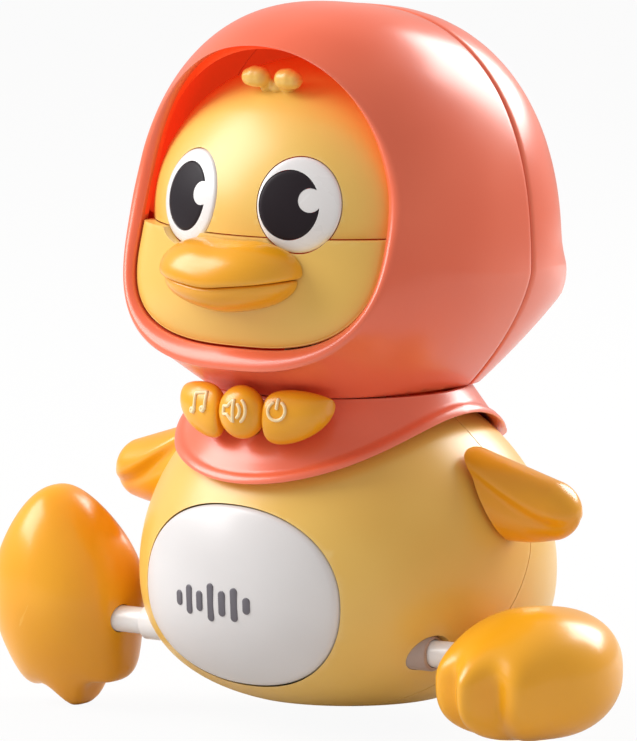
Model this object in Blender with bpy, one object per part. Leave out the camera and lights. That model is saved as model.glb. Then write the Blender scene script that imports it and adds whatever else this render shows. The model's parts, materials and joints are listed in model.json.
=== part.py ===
"""Hooded duck toy: battery driven, it crawls on two feet cranked a quarter turn apart.

The duck faces -Y, its left side is +X and +Z is up. All sizes here are in
millimetres, measured from the middle of the flat base, and become metres
when a mesh is made.
"""
import math

import bmesh
import bpy
from mathutils import Matrix, Vector

MM = 0.001
GAP = 0.3                      # between pieces that touch

# Middle of the flat base, from the middle of the whole duck's footprint
BASE_Y = 1.58
BASE_Z = 7.61

# Body: a round belly, flattened underneath, leaning a little forward at the neck
BODY_RADIUS = 56.3
BODY_MIDDLE = 34.0
BODY_UP = 57.0
BODY_DOWN = 37.0
BODY_DOWN_POWER = 2.4
BODY_TOP = 80.0
BODY_WALL = 2.2
BODY_LEAN = 3.0
BODY_MESH = (36, 6, 6)         # points round, rings below and above the middle
BODY_SEAM = [(0.0, 90.0), (1.0, 72.0), (5.0, 58.0), (8.5, 46.0), (0.5, 34.0), (-7.0, 25.0), (-16.0, 12.0), (-22.0, -5.0)]

# Bib: a collar with a front and a rear lobe, highest on the shoulders
BIB_FRONT = 62.7
BIB_SHOULDER = 79.0
BIB_TOP = 83.5
BIB_RADII = [(60.0, 51.4), (68.0, 47.2), (75.5, 41.8), (83.5, 36.5)]
BIB_REAR_IN = 3.0              # how much nearer the rear lobe is
BIB_THICK = 1.6

# Belly lamp cover, an oval in the front of the body
PANEL_MIDDLE = (-2.2, 31.6)
PANEL_HALF = (32.2, 24.7)
PANEL_PROUD = 0.5

# Hood: an upright seam ring, a rim ring with the face opening, and a rounded back
HOOD_SEAM_Y = 7.3
HOOD_WALL = 2.4
HOOD_BOTTOM = 85.0
HOOD_RING = dict(wide=54.8, middle=117.5, up=67.8, up_power=2.4, down=53.4, down_power=1.45)
RIM_RING = dict(wide=43.8, middle=131.0, up=47.5, up_power=2.05, down=37.6, down_power=2.67)
OPENING_RING = dict(wide=39.9, middle=126.0, up=52.6, up_power=2.2, down=27.2, down_power=2.85)
RIM_Y = -36.8
RIM_CHIN = 14.8                # how much further forward the chin of the rim is
RIM_CHIN_TOP = 144.5
RIM_CHIN_SPAN = 43.6
RIM_CROWN = 7.0                # the same at the crown
RIM_DEPTH = 3.5
CHIN_LIFT = 1.8                # how fast the hood's underside rises to the chin
HOOD_TOP_BULGE = 3.5
HOOD_ARC = math.radians(60)
RIDGE_Z = 106.5
BACK_POLE_Z = 106.5
BACK_DEPTH = 49.5
RIDGE_DEPTH = 57.5
RIDGE_SLOPE = 1.3

# Face, inside the hood
FACE_BACK_Y = -12.0
FACE_RING = dict(wide=48.4, middle=131.0, up=42.0, up_power=2.0, down=41.0, down_power=2.3)
FACE_DEPTH = 41.0
FACE_POWER = 1.1
CHEEK_MIDDLE = 118.0           # the lower face fills the hood's opening
CHEEK_FRONT_Y = -55.0
CHEEK_BACK_Y = -21.0
CHEEK_INSET = 0.4
CHEEK_POWER = 1.6
FACE_WALL = 2.2
FACE_SEAM_Z = 129.3
EYE_X = 18.3
EYE_Z = 138.0
EYE_TURN = math.radians(21)
EYE_HALF = (11.5, 12.6)
PUPIL_HALF = (8.3, 9.2)
PUPIL_SHIFT = {"left": -2.6, "right": -0.4}
BITE_SHIFT = {"left": 5.8, "right": 6.8}
BITE_RADIUS = 3.3
BEAK_Z = 117.2

# Neck
NECK_Y = -3.0
POST_RADIUS = 12.0
POST_BORE = 8.0

# Bow-tie buttons
BUTTON_Z = 80.0
BUTTON_X = 12.5
STEM_Z = 74.5
STEM_RADIUS = 1.6
STEM_END = -32.5
SWITCH_FRONT = -31.0
BOARD_FRONT = -28.9

# Wings: each turns on a pin that points away from the middle of the body
WING_TILT = math.radians(25.4)
WING_CENTRE = Vector((0.0, -0.5, BODY_MIDDLE))
WING_ROOT = 57.6
WING_TIP = 75.2

# Axle, feet and gear train
AXLE_Y = -27.3
AXLE_Z = 17.8
AXLE_RADIUS = 3.6
AXLE_HALF = 68.0
BUSH_RADIUS = 4.8
FOOT_X = 75.6
FOOT_HALF = (21.0, 28.9, 17.3)
FOOT_BACK = 4.5                # the foot's middle is behind and below the axle
FOOT_DROP = 3.0
FOOT_TURN = math.radians(6)
FAR_FOOT_TURN = math.radians(90)
BIG_MODULE = 1.0
SMALL_MODULE = 0.7
AXLE_TEETH = 24
IDLER_PINION_TEETH = 8
IDLER_TEETH = 20
MOTOR_TEETH = 8
BACKLASH = 0.16
IDLER_DIRECTION = math.radians(40)
MOTOR_DIRECTION = math.radians(80)

# Three small round cells across the base
CELL_RADIUS = 5.25
CELL_LENGTH = 44.5
CELL_Z = 11.2
CELL_FIRST_Y = -3.5
CELL_PITCH = 11.5

for old in list(bpy.data.objects):
    bpy.data.objects.remove(old, do_unlink=True)

base = bpy.data.objects.new("base_middle", None)
base.location = (0.0, BASE_Y * MM, BASE_Z * MM)
bpy.context.collection.objects.link(base)


def plastic(name, colour, roughness=0.35, metallic=0.0):
    """A Principled material with one colour."""
    mat = bpy.data.materials.new(name)
    mat.use_nodes = True
    shader = mat.node_tree.nodes["Principled BSDF"]
    shader.inputs["Base Color"].default_value = (*colour, 1.0)
    shader.inputs["Roughness"].default_value = roughness
    shader.inputs["Metallic"].default_value = metallic
    return mat


CORAL = plastic("coral plastic", (0.87, 0.17, 0.10), 0.32)
YELLOW = plastic("yellow plastic", (0.80, 0.50, 0.13), 0.38)
ORANGE = plastic("orange plastic", (0.86, 0.36, 0.03), 0.32)
WHITE = plastic("white plastic", (0.80, 0.78, 0.77), 0.35)
LAMP = plastic("lamp cover", (0.82, 0.80, 0.79), 0.30)
BLACK = plastic("black plastic", (0.02, 0.015, 0.02), 0.20)
NATURAL = plastic("natural nylon", (0.75, 0.73, 0.66), 0.45)
GREY = plastic("grey plastic", (0.16, 0.16, 0.17), 0.45)
STEEL = plastic("steel", (0.60, 0.60, 0.62), 0.28, 1.0)
BRASS = plastic("brass", (0.72, 0.52, 0.22), 0.30, 1.0)
BOARD = plastic("green board", (0.03, 0.22, 0.09), 0.50)
CELL = plastic("cell sleeve", (0.05, 0.10, 0.30), 0.30)


# ---------------------------------------------------------------- shape tools

def signed_power(value, power):
    """The power of a number, keeping its sign."""
    return math.copysign(abs(value) ** power, value)


def blend(low, high, value):
    """0 below low, 1 above high, and smooth between."""
    part = min(max((value - low) / (high - low), 0.0), 1.0)
    return part * part * (3.0 - 2.0 * part)


def along(table, value):
    """Straight-line reading of a table of (place, amount) pairs."""
    for (z0, a0), (z1, a1) in zip(table, table[1:]):
        if value <= z1:
            return a0 + (a1 - a0) * max(value - z0, 0.0) / (z1 - z0)
    return table[-1][1]


def make_object(name, bm, mat, turned_round=False):
    """Give a mesh in millimetres its object, its material and its smooth shading."""
    bmesh.ops.scale(bm, verts=bm.verts, vec=(MM, MM, MM))
    bmesh.ops.recalc_face_normals(bm, faces=bm.faces)
    mesh = bpy.data.meshes.new(name)
    bm.to_mesh(mesh)
    bm.free()
    mesh.shade_smooth()
    mesh.set_sharp_from_angle(angle=math.radians(35))
    if mat is not None:
        mesh.materials.append(mat)
    obj = bpy.data.objects.new(name, mesh)
    bpy.context.collection.objects.link(obj)
    obj.parent = base
    return obj


def loft(rings, loop=False):
    """A closed skin over rings of equal length; a loop joins the last ring to the first."""
    bm = bmesh.new()
    rows = [[bm.verts.new(point) for point in ring] for ring in rings]
    count = len(rows[0])
    pairs = list(zip(rows, rows[1:]))
    if loop:
        pairs.append((rows[-1], rows[0]))
    for row, following in pairs:
        for i in range(count):
            j = (i + 1) % count
            bm.faces.new((row[i], row[j], following[j], following[i]))
    if not loop:
        bm.faces.new(rows[0][::-1])
        bm.faces.new(rows[-1])
    return bm


def circle(count, start=0.0):
    """Unit circle points."""
    angles = [start + 2.0 * math.pi * i / count for i in range(count)]
    return [(math.cos(angle), math.sin(angle)) for angle in angles]


def axis_frame(origin, direction):
    """A placing whose local Z lies along the direction."""
    turn = Vector((0, 0, 1)).rotation_difference(Vector(direction))
    return Matrix.Translation(Vector(origin)) @ turn.to_matrix().to_4x4()


def turned_mesh(origin, direction, profile, count=20, bore=0.0):
    """Turned piece: profile is a list of (distance along the axis, radius)."""
    frame = axis_frame(origin, direction)
    stations = list(profile)
    if bore:
        stations += [(profile[-1][0], bore), (profile[0][0], bore)]
    unit = circle(count)
    rings = [[frame @ Vector((r * x, r * y, d)) for x, y in unit] for d, r in stations]
    return loft(rings, loop=bool(bore))


def turned(name, mat, origin, direction, profile, count=20, bore=0.0):
    return make_object(name, turned_mesh(origin, direction, profile, count, bore), mat)


def block(name, mat, low, high, edge=0.0):
    """Box between two corners, with its edges bevelled."""
    bm = bmesh.new()
    bmesh.ops.create_cube(bm, size=1.0)
    size = [b - a for a, b in zip(low, high)]
    middle = [(a + b) / 2.0 for a, b in zip(low, high)]
    bmesh.ops.scale(bm, verts=bm.verts, vec=size)
    bmesh.ops.translate(bm, verts=bm.verts, vec=middle)
    if edge:
        bmesh.ops.bevel(bm, geom=bm.edges[:], offset=edge, segments=1, affect="EDGES")
    return make_object(name, bm, mat)


def prism(outline, low, high, axis):
    """Solid of an outline of pairs, pushed along X or Y."""
    if axis == "X":
        rings = [[(d, a, b) for a, b in outline] for d in (low, high)]
    else:
        rings = [[(a, d, b) for a, b in outline] for d in (low, high)]
    return loft(rings)


def cutter(name, bm):
    """A shape that only cuts others."""
    obj = make_object(name, bm, None)
    obj.hide_render = True
    obj.display_type = "WIRE"
    return obj


def cut(obj, tool, operation="DIFFERENCE"):
    mod = obj.modifiers.new(operation.lower() + " " + tool.name, "BOOLEAN")
    mod.operation = operation
    mod.object = tool
    mod.solver = "EXACT"
    return mod


# ---------------------------------------------------------------- body

def body_radius(z, inward=0.0):
    radius = BODY_RADIUS - inward
    if z > BODY_MIDDLE:
        share = (z - BODY_MIDDLE) / (BODY_UP - inward)
        return radius * math.sqrt(max(1.0 - share ** 2, 0.0))
    share = (BODY_MIDDLE - z) / (BODY_DOWN - inward)
    power = BODY_DOWN_POWER
    return radius * max(1.0 - share ** power, 0.0) ** (1.0 / power)


def body_lean(z):
    return -BODY_LEAN * (max(z - BODY_MIDDLE, 0.0) / 50.0) ** 2


def body_heights(low, high, inward, below, above):
    """Heights spaced as equal steps of the arc of the wall."""
    first = math.asin((BODY_MIDDLE - low) / (BODY_DOWN - inward))
    last = math.asin((high - BODY_MIDDLE) / (BODY_UP - inward))
    down = [BODY_MIDDLE - (BODY_DOWN - inward) * math.sin(first * (1 - i / below)) for i in range(below)]
    up = [BODY_MIDDLE + (BODY_UP - inward) * math.sin(last * i / above) for i in range(above + 1)]
    return down + up


def body_solid(inward, count, below, above):
    low = inward
    high = BODY_TOP - inward
    unit = circle(count)
    rings = []
    for z in body_heights(low, high, inward, below, above):
        r = body_radius(z, inward)
        rings.append([(r * x, r * y + body_lean(z), z) for x, y in unit])
    return loft(rings)


def rounded(points):
    """An open line with its corners cut, its ends kept."""
    cut_line = [points[0]]
    for (a, b), (c, d) in zip(points, points[1:]):
        cut_line.append((0.75 * a + 0.25 * c, 0.75 * b + 0.25 * d))
        cut_line.append((0.25 * a + 0.75 * c, 0.25 * b + 0.75 * d))
    cut_line.append(points[-1])
    return cut_line


def seam_solid(shift):
    """Everything in front of the body's side seam, moved back by shift."""
    outline = [(y + shift, z) for y, z in rounded(BODY_SEAM)]
    outline += [(-80.0, BODY_SEAM[-1][1]), (-80.0, BODY_SEAM[0][1])]
    return prism(outline, -80.0, 80.0, "X")


def oval(middle, half, count, grow=0.0, power=2.0):
    cx, cz = middle
    a, b = half[0] + grow, half[1] + grow
    return [(cx + a * signed_power(x, 2.0 / power), cz + b * signed_power(z, 2.0 / power))
            for x, z in circle(count)]


def stem_hole(x):
    """Hole along Y for a button's stem."""
    return turned_mesh((x, -60, STEM_Z), (0, 1, 0), [(0, STEM_RADIUS + 0.5), (35, STEM_RADIUS + 0.5)], 10)


def wing_direction(side):
    return Vector((side * math.cos(WING_TILT), 0.0, math.sin(WING_TILT)))


def build_body():
    inner = cutter("body hollow", body_solid(BODY_WALL, 24, 4, 4))
    axle_hole = cutter("axle hole", turned_mesh((0, AXLE_Y, AXLE_Z), (1, 0, 0),
                                                [(-60, BUSH_RADIUS + GAP), (60, BUSH_RADIUS + GAP)], 16))
    neck_hole = cutter("neck hole", turned_mesh((0, NECK_Y, 70), (0, 0, 1),
                                                [(0, POST_RADIUS + GAP), (20, POST_RADIUS + GAP)], 20))
    panel_hole = cutter("panel hole", prism(oval(PANEL_MIDDLE, PANEL_HALF, 36, GAP, 2.15), -80, -20, "Y"))
    door_hole = cutter("door hole", prism([(-24.5, -3), (24.5, -3), (24.5, 12), (-24.5, 12)], -8.5, 25.0, "Y"))
    front = make_object("body_front", body_solid(0.0, *BODY_MESH), YELLOW)
    cut(front, inner)
    cut(front, cutter("body front half", seam_solid(0.0)), "INTERSECT")
    for tool in (axle_hole, neck_hole, panel_hole):
        cut(front, tool)
    for x in (-BUTTON_X, 0.0, BUTTON_X):
        cut(front, cutter("stem hole", stem_hole(x)))
    rear = make_object("body_rear", body_solid(0.0, *BODY_MESH), YELLOW)
    cut(rear, inner)
    cut(rear, cutter("body front half and gap", seam_solid(GAP)))
    for tool in (neck_hole, door_hole):
        cut(rear, tool)
    for i in range(7):
        angle = math.radians(60 * i)
        ring = 0.0 if i == 6 else 6.0
        x = ring * math.cos(angle)
        z = 46.0 + ring * math.sin(angle)
        cut(rear, cutter("sound hole", turned_mesh((x, 30, z), (0, 1, 0), [(0, 1.3), (40, 1.3)], 8)))
    for side in (-1, 1):
        pin_hole = cutter("pin hole", turned_mesh(WING_CENTRE, wing_direction(side),
                                                  [(40, 2.0), (62, 2.0)], 12))
        cut(front, pin_hole)
        cut(rear, pin_hole)
    door = make_object("battery_door", body_solid(0.0, *BODY_MESH), YELLOW)
    cut(door, inner)
    door_outline = [(-24.2, -3), (24.2, -3), (24.2, 12), (-24.2, 12)]
    cut(door, cutter("door edge", prism(door_outline, -8.2, 24.7, "Y")), "INTERSECT")
    screw_hole = cutter("door screw hole", turned_mesh((0, 20.5, -3), (0, 0, 1), [(0, 2.9), (4.2, 2.9)], 12))
    cut(door, screw_hole)
    turned("door_screw", STEEL, (0, 20.5, 0.3), (0, 0, 1), [(0, 2.4), (0.8, 2.4)], 12)
    panel = make_object("belly_panel", body_solid(-PANEL_PROUD, 48, 7, 7), LAMP)
    cut(panel, cutter("panel hollow", body_solid(1.6, 32, 5, 5)))
    cut(panel, cutter("panel edge", prism(oval(PANEL_MIDDLE, PANEL_HALF, 36, 0.0, 2.15), -80, -20, "Y")),
        "INTERSECT")


def bib_border(angle):
    """Height of the bib's lower edge; angle 0 is the front."""
    return BIB_FRONT + (BIB_SHOULDER - BIB_FRONT) * math.sin(angle) ** 2


def build_bib():
    count = 32
    rings = []
    outer_steps = [0.0, 0.05, 0.4, 1.0]
    layers = [(step, 0.0) for step in outer_steps]
    layers += [(step, BIB_THICK) for step in (1.0, 0.45, 0.0)]
    for step, inward in layers:
        ring = []
        for i in range(count):
            angle = 2.0 * math.pi * i / count
            low = bib_border(angle)
            z = low + (BIB_TOP - low) * step
            raised = 0.5 if step == 0.0 else 0.0
            # the collar stands off the shoulders no more than its own thickness
            wide = along(BIB_RADII, z) - BIB_REAR_IN * max(-math.cos(angle), 0.0)
            r = max(wide, body_radius(min(z, 82.0)) + BIB_THICK + 0.5) - inward + raised
            ring.append((r * math.sin(angle), -r * math.cos(angle) + body_lean(z), z))
        rings.append(ring)
    bib = make_object("bib", loft(rings, loop=True), CORAL)
    for x in (-BUTTON_X, 0.0, BUTTON_X):
        cut(bib, cutter("bib stem hole", stem_hole(x)))


# ---------------------------------------------------------------- head

def egg(ring, count, inward=0.0):
    """Upright egg outline as (x, z) pairs."""
    points = []
    for c, s in circle(count):
        power = ring["up_power"] if s > 0 else ring["down_power"]
        reach = ring["up"] if s > 0 else ring["down"]
        x = (ring["wide"] - inward) * signed_power(c, 2.0 / power)
        z = ring["middle"] + (reach - inward) * signed_power(s, 2.0 / power)
        points.append((x, z))
    return points


def rim_y(z):
    chin = RIM_CHIN * (max(RIM_CHIN_TOP - z, 0.0) / RIM_CHIN_SPAN) ** 1.5
    crown = RIM_CROWN * (max(z - 150.0, 0.0) / 36.0) ** 2
    return RIM_Y - min(chin, 1.3 * RIM_CHIN) - crown


def hood_front_ring(angle, count, inward):
    """One ring of the front shell, from the seam (angle 0) to the rim (HOOD_ARC)."""
    seam = egg(HOOD_RING, count, inward)
    rim = egg(RIM_RING, count, inward)
    share = (1.0 - math.cos(angle)) / (1.0 - math.cos(HOOD_ARC))
    reach = math.sin(angle) / math.sin(HOOD_ARC)
    back = RIM_DEPTH if inward else 0.0
    ring = []
    for (xs, zs), (xr, zr) in zip(seam, rim):
        x = xs + (xr - xs) * share
        under = max((HOOD_RING["middle"] - zs) / HOOD_RING["down"], 0.0) ** 2
        rise = 1.0 - (1.0 - share) ** CHIN_LIFT
        z = zs + (zr - zs) * (share + (rise - share) * under)
        height = max(z - HOOD_RING["middle"], 0.0) / HOOD_RING["up"]
        z += HOOD_TOP_BULGE * height ** 3 * math.sin(math.pi * angle / HOOD_ARC)
        y = HOOD_SEAM_Y + (rim_y(zr) + back - HOOD_SEAM_Y) * reach
        ring.append((x, y, z))
    return ring


def back_depth(z):
    if z < RIDGE_Z:
        return RIDGE_DEPTH - RIDGE_SLOPE * (RIDGE_Z - z)
    return RIDGE_DEPTH + (BACK_DEPTH - RIDGE_DEPTH) * blend(RIDGE_Z, RIDGE_Z + 17.0, z)


def hood_back_ring(angle, count, inward):
    """One ring of the rear shell, from the seam (angle 0) to the pole at the back."""
    ring = []
    for xs, zs in egg(HOOD_RING, count, inward):
        x = xs * math.cos(angle)
        z = BACK_POLE_Z + (zs - BACK_POLE_Z) * math.cos(angle)
        y = HOOD_SEAM_Y + GAP + (back_depth(z) - inward) * math.sin(angle)
        ring.append((x, y, z))
    return ring


def face_ring(angle, count, inward):
    ring = []
    for xs, zs in egg(FACE_RING, count, inward):
        x = xs * math.cos(angle)
        z = FACE_RING["middle"] + (zs - FACE_RING["middle"]) * math.cos(angle)
        ring.append((x, FACE_BACK_Y - (FACE_DEPTH - inward) * math.sin(angle) ** FACE_POWER, z))
    return ring


def face_solid(inward, count=32, steps=8, back=0.0):
    """The head's front as a solid, open to nothing; back moves its rear face."""
    rings = [face_ring(math.radians(88.0) * (1 - i / steps), count, inward) for i in range(steps + 1)]
    if back:
        rings.append([(x, y + back, z) for x, y, z in rings[-1]])
    return loft(rings)


def cheek_solid(inward, count=32, steps=7, back=0.0):
    """The lower face: it fills the hood's opening, level with the rim, and swells forwards."""
    edge = egg(OPENING_RING, count, CHEEK_INSET + inward)
    rings = []
    for i in range(steps + 1):
        angle = math.radians(86.0) * (1 - i / steps)
        swell = math.sin(angle) ** CHEEK_POWER
        ring = []
        for xs, zs in edge:
            y = (rim_y(zs) + 0.7) * (1 - swell) + CHEEK_FRONT_Y * swell + inward
            ring.append((xs * math.cos(angle), y, CHEEK_MIDDLE + (zs - CHEEK_MIDDLE) * math.cos(angle)))
        rings.append(ring)
    rings.append([(x, CHEEK_BACK_Y + back, z) for x, z in edge])
    return loft(rings)


def eye_frame(side):
    """Placing of an eye: local Z looks out of the face."""
    out = Vector((side * math.sin(EYE_TURN), -math.cos(EYE_TURN), 0.06)).normalized()
    across = Vector((0, 0, 1)).cross(out).normalized()
    up = out.cross(across)
    frame = Matrix((across, up, out)).transposed().to_4x4()
    frame.translation = Vector((side * EYE_X, -49.8, EYE_Z))
    return frame


def eye_prism(side, middle, half, count=20, reach=9.0):
    frame = eye_frame(side)
    outline = oval(middle, half, count)
    return loft([[frame @ Vector((x, z, d)) for x, z in outline] for d in (-reach, reach)])


def build_head():
    count = 34
    steps = 6
    rings = [hood_front_ring(HOOD_ARC * i / steps, count, 0.0) for i in range(steps + 1)]
    lip = egg(OPENING_RING, count)
    rings.append([(x, rim_y(z) + 0.8, z) for x, z in lip])
    rings.append([(x, rim_y(z) + RIM_DEPTH, z) for x, z in lip])
    rings += [hood_front_ring(HOOD_ARC * i / 4, count, HOOD_WALL) for i in (4, 2.5, 1.2, 0)]
    hood_front = make_object("hood_front", loft(rings, loop=True), CORAL)
    rings = [hood_back_ring(math.radians(87) * (1 - i / 7), count, 0.0) for i in range(8)]
    rings += [hood_back_ring(math.radians(85) * i / 4, count, HOOD_WALL) for i in range(5)]
    hood_rear = make_object("hood_rear", loft(rings), CORAL)
    below = cutter("below the hood", prism([(-90, 40), (90, 40), (90, HOOD_BOTTOM), (-90, HOOD_BOTTOM)],
                                           -90, 90, "Y"))
    cut(hood_front, below)
    cut(hood_rear, below)

    line = FACE_SEAM_Z
    sockets = [cutter("eye socket", eye_prism(side, (0, 0), (EYE_HALF[0] + GAP, EYE_HALF[1] + GAP)))
               for side in (-1, 1)]
    upper_face = make_object("face_upper", face_solid(0.0), YELLOW)
    cut(upper_face, cutter("face hollow", face_solid(FACE_WALL, 22, 5, back=6.0)))
    cut(upper_face, cutter("above face seam", prism([(-90, line), (90, line), (90, 200), (-90, 200)], -90, 0, "Y")),
        "INTERSECT")
    lower_face = make_object("face_lower", cheek_solid(0.0), YELLOW)
    cut(lower_face, cutter("cheek hollow", cheek_solid(FACE_WALL, 24, 5, back=6.0)))
    cut(lower_face, cutter("below face seam", prism([(-90, 60), (90, 60), (90, line - GAP), (-90, line - GAP)],
                                                    -90, 0, "Y")), "INTERSECT")
    for face in (upper_face, lower_face):
        for socket in sockets:
            cut(face, socket)

    for side, word in ((-1, "right"), (1, "left")):
        shift = PUPIL_SHIFT[word]
        bite = (shift + BITE_SHIFT[word], 1.4)
        white = make_object("eye_white_" + word, face_solid(-0.4, 38, 11), WHITE)
        cut(white, cutter("eye back", face_solid(1.8, 28, 7, back=6.0)))
        cut(white, cutter("eye edge", eye_prism(side, (0, 0), EYE_HALF)), "INTERSECT")
        hole = cutter("pupil hole", eye_prism(side, (shift, 0), (PUPIL_HALF[0] + GAP, PUPIL_HALF[1] + GAP)))
        cut(hole, cutter("bite in the hole", eye_prism(side, bite, (BITE_RADIUS - GAP, BITE_RADIUS - GAP), 16, 12.0)))
        cut(white, hole)
        pupil = make_object("eye_pupil_" + word, face_solid(-0.5, 38, 11), BLACK)
        cut(pupil, cutter("pupil back", face_solid(1.5, 28, 7, back=6.0)))
        cut(pupil, cutter("pupil edge", eye_prism(side, (shift, 0), PUPIL_HALF)), "INTERSECT")
        cut(pupil, cutter("bite in the pupil", eye_prism(side, bite, (BITE_RADIUS, BITE_RADIUS), 16, 12.0)))

    clear = cutter("room for the face", face_solid(-0.75))
    cheek_clear = cutter("room for the cheeks", cheek_solid(-0.5))
    upper = make_object("beak_upper", beak_mesh((21.5, 16.5, 8.6), 121.2, BEAK_Z + 0.15, 140.0), ORANGE)
    lower = make_object("beak_lower", beak_mesh((19.2, 14.8, 7.4), 117.0, 100.0, BEAK_Z - 0.15), ORANGE)
    for half in (upper, lower):
        cut(half, clear)
        cut(half, cheek_clear)
    tuft = make_object("hair_tuft", ball((0, -35.0, 168.0), (5.0, 3.4, 3.2), 10, 6), YELLOW)
    for side in (-1, 1):
        cut(tuft, cutter("curl", ball((side * 6.2, -35.4, 170.4), (4.0, 3.3, 3.1), 10, 6)), "UNION")
    cut(tuft, clear)


def ball(middle, half, count=12, rows=7):
    unit = circle(count)
    rings = []
    for i in range(rows + 1):
        angle = math.radians(-84.0 + 168.0 * i / rows)
        flat = math.cos(angle)
        rings.append([(middle[0] + half[0] * flat * x, middle[1] + half[1] * flat * y,
                       middle[2] + half[2] * math.sin(angle)) for x, y in unit])
    return loft(rings)


def beak_mesh(half, middle_z, low, high):
    """Half of the bill: a wide flat egg, cut level at the mouth line."""
    rings = []
    for i in range(8):
        angle = math.radians(-80.0 + 160.0 * i / 7)
        z = min(max(middle_z + half[2] * math.sin(angle), low), high)
        flat = math.cos(math.asin(max(min((z - middle_z) / half[2], 0.985), -0.985)))
        rings.append([(half[0] * flat * signed_power(x, 0.9), -52.0 + half[1] * flat * signed_power(y, 0.9), z)
                      for x, y in circle(24)])
    kept = [ring for ring, following in zip(rings, rings[1:]) if ring[0][2] < following[0][2]]
    return loft(kept + [rings[-1]])


def build_neck():
    turned("neck_post", NATURAL, (0, NECK_Y, 0), (0, 0, 1),
           [(74.5, 18.0), (77.4, 18.0), (77.4, POST_RADIUS), (110.0, POST_RADIUS)], 24, POST_BORE)
    turned("head_frame", NATURAL, (0, NECK_Y, 0), (0, 0, 1),
           [(84.5, 15.5), (104.5, 15.5), (104.5, 29.0), (107.0, 29.0)], 24, POST_RADIUS + 0.4)
    turned("neck_retainer", STEEL, (0, NECK_Y, 0), (0, 0, 1),
           [(107.4, 16.5), (108.6, 16.5)], 20, POST_RADIUS + 0.3)


# ---------------------------------------------------------------- buttons

def button_lobe(side):
    """Puffed bow lobe, fullest near the knot and drawn up to its outer corner."""
    rings = []
    steps = 7
    for i in range(steps + 1):
        share = i / steps
        angle = math.pi * (0.06 + 0.88 * share)
        x = side * (6.9 + 16.6 * (1 - math.cos(math.pi * share)) / 2)
        swell = math.sin(angle) ** 0.55
        tall = 7.2 * (1.0 - 0.5 * share ** 1.6) * swell
        deep = 4.0 * swell
        middle_y = -47.8 + 7.2 * share ** 1.5
        middle_z = BUTTON_Z - 0.6 + 4.0 * share ** 2.0
        rings.append([(x, middle_y + deep * c, middle_z + tall * s) for c, s in circle(14)])
    return loft(rings if side > 0 else rings[::-1])


def stem(x, start):
    return turned_mesh((x, 0, STEM_Z), (0, 1, 0), [(start, STEM_RADIUS), (STEM_END, STEM_RADIUS)], 12)


def build_buttons():
    names = {-1: "button_mode", 1: "button_power"}
    for side in (-1, 1):
        lobe = make_object(names[side], button_lobe(side), ORANGE)
        cut(lobe, cutter("stem", stem(side * BUTTON_X, -46.0)), "UNION")
    knot = make_object("button_volume", ball((0, -48.7, BUTTON_Z + 1.2), (6.0, 4.6, 7.0), 14, 7), ORANGE)
    cut(knot, cutter("stem middle", stem(0.0, -47.0)), "UNION")
    block("button_board", BOARD, (-18, BOARD_FRONT, 69.5), (18, BOARD_FRONT + 1.2, 77.5))
    for x, word in ((-BUTTON_X, "mode"), (0.0, "volume"), (BUTTON_X, "power")):
        block("switch_" + word, BLACK, (x - 3, SWITCH_FRONT, STEM_Z - 3), (x + 3, BOARD_FRONT - GAP, STEM_Z + 3))


# ---------------------------------------------------------------- wings

def wing_mesh(side):
    """Stubby wing: a thick upper roll above a thinner blade, rounded at the tip."""
    rings = []
    steps = 8
    for i in range(steps + 1):
        share = math.sin(math.pi / 2 * (i / steps) ** 0.85)
        share = min(share, 0.995)
        x = 38.0 + (WING_TIP - 38.0) * share
        end = math.sqrt(max(1.0 - max((x - 69.0) / (WING_TIP - 69.0), 0.0) ** 2, 0.02))
        top = 72.5 - 12.0 * (x - 38.0) / 38.0
        low = 45.8 + 2.0 * blend(60.0, 76.0, x)
        middle = (top + low) / 2
        tall = (top - low) / 2 * end
        thick = (11.5 - 6.3 * (x - 38.0) / 38.0) * end
        middle_y = -5.5 + 5.0 * (x - 38.0) / 38.0
        ring = []
        for c, s in circle(16):
            lean = 1.0 + 0.12 * s
            ring.append((side * x, middle_y + thick * c * lean, middle + tall * s))
        rings.append(ring)
    return loft(rings if side > 0 else rings[::-1])


def build_wings():
    room = cutter("room for the body", ball(WING_CENTRE, (WING_ROOT,) * 3, 44, 24))
    for side, word in ((-1, "right"), (1, "left")):
        wing = make_object("wing_" + word, wing_mesh(side), ORANGE)
        cut(wing, room)
        out = wing_direction(side)
        cut(wing, cutter("wing pin hole", turned_mesh(WING_CENTRE, out, [(50, 2.0), (66.3, 2.0)], 12)))
        turned("wing_pin_" + word, STEEL, WING_CENTRE, out, [(50.6, 3.6), (52.6, 3.6), (52.6, 1.6), (66, 1.6)], 12)


# ---------------------------------------------------------------- legs

def foot_mesh(side):
    """Three-toed foot, toes to -Y, with the axle through the origin."""
    half_x, half_y, half_z = FOOT_HALF
    rings = []
    rows = 8
    for i in range(rows + 1):
        angle = math.radians(-82.0 + 164.0 * i / rows)
        height = math.sin(angle)
        z = half_z * height
        flat = max(1.0 - abs(height) ** (3.2 if height < 0 else 2.2), 0.02) ** (1.0 / 2.2)
        ring = []
        for c, s in circle(30):
            forward = max(-s, 0.0)
            toe = forward ** 1.5 * math.cos(2.0 * math.pi * c / 0.66)
            grow = 1.0 + 0.07 * toe * (1.0 - blend(-0.1, 0.8, height)) + 0.04 * max(s, 0.0)
            wide = 1.0 + 0.10 * forward - 0.27 * max(s, 0.0) ** 2
            drop = -0.34 * half_z * forward * flat * max(height, 0.0)
            drop -= 0.38 * half_z * (max(s, 0.0) * flat) ** 2 * min(height, 0.0)
            ring.append((half_x * flat * grow * wide * c,
                         half_y * flat * grow * s + FOOT_BACK, z + drop - FOOT_DROP))
        rings.append(ring)
    bm = loft(rings)
    bmesh.ops.rotate(bm, verts=bm.verts, matrix=Matrix.Rotation(-side * FOOT_TURN, 3, "Z"))
    return bm


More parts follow.
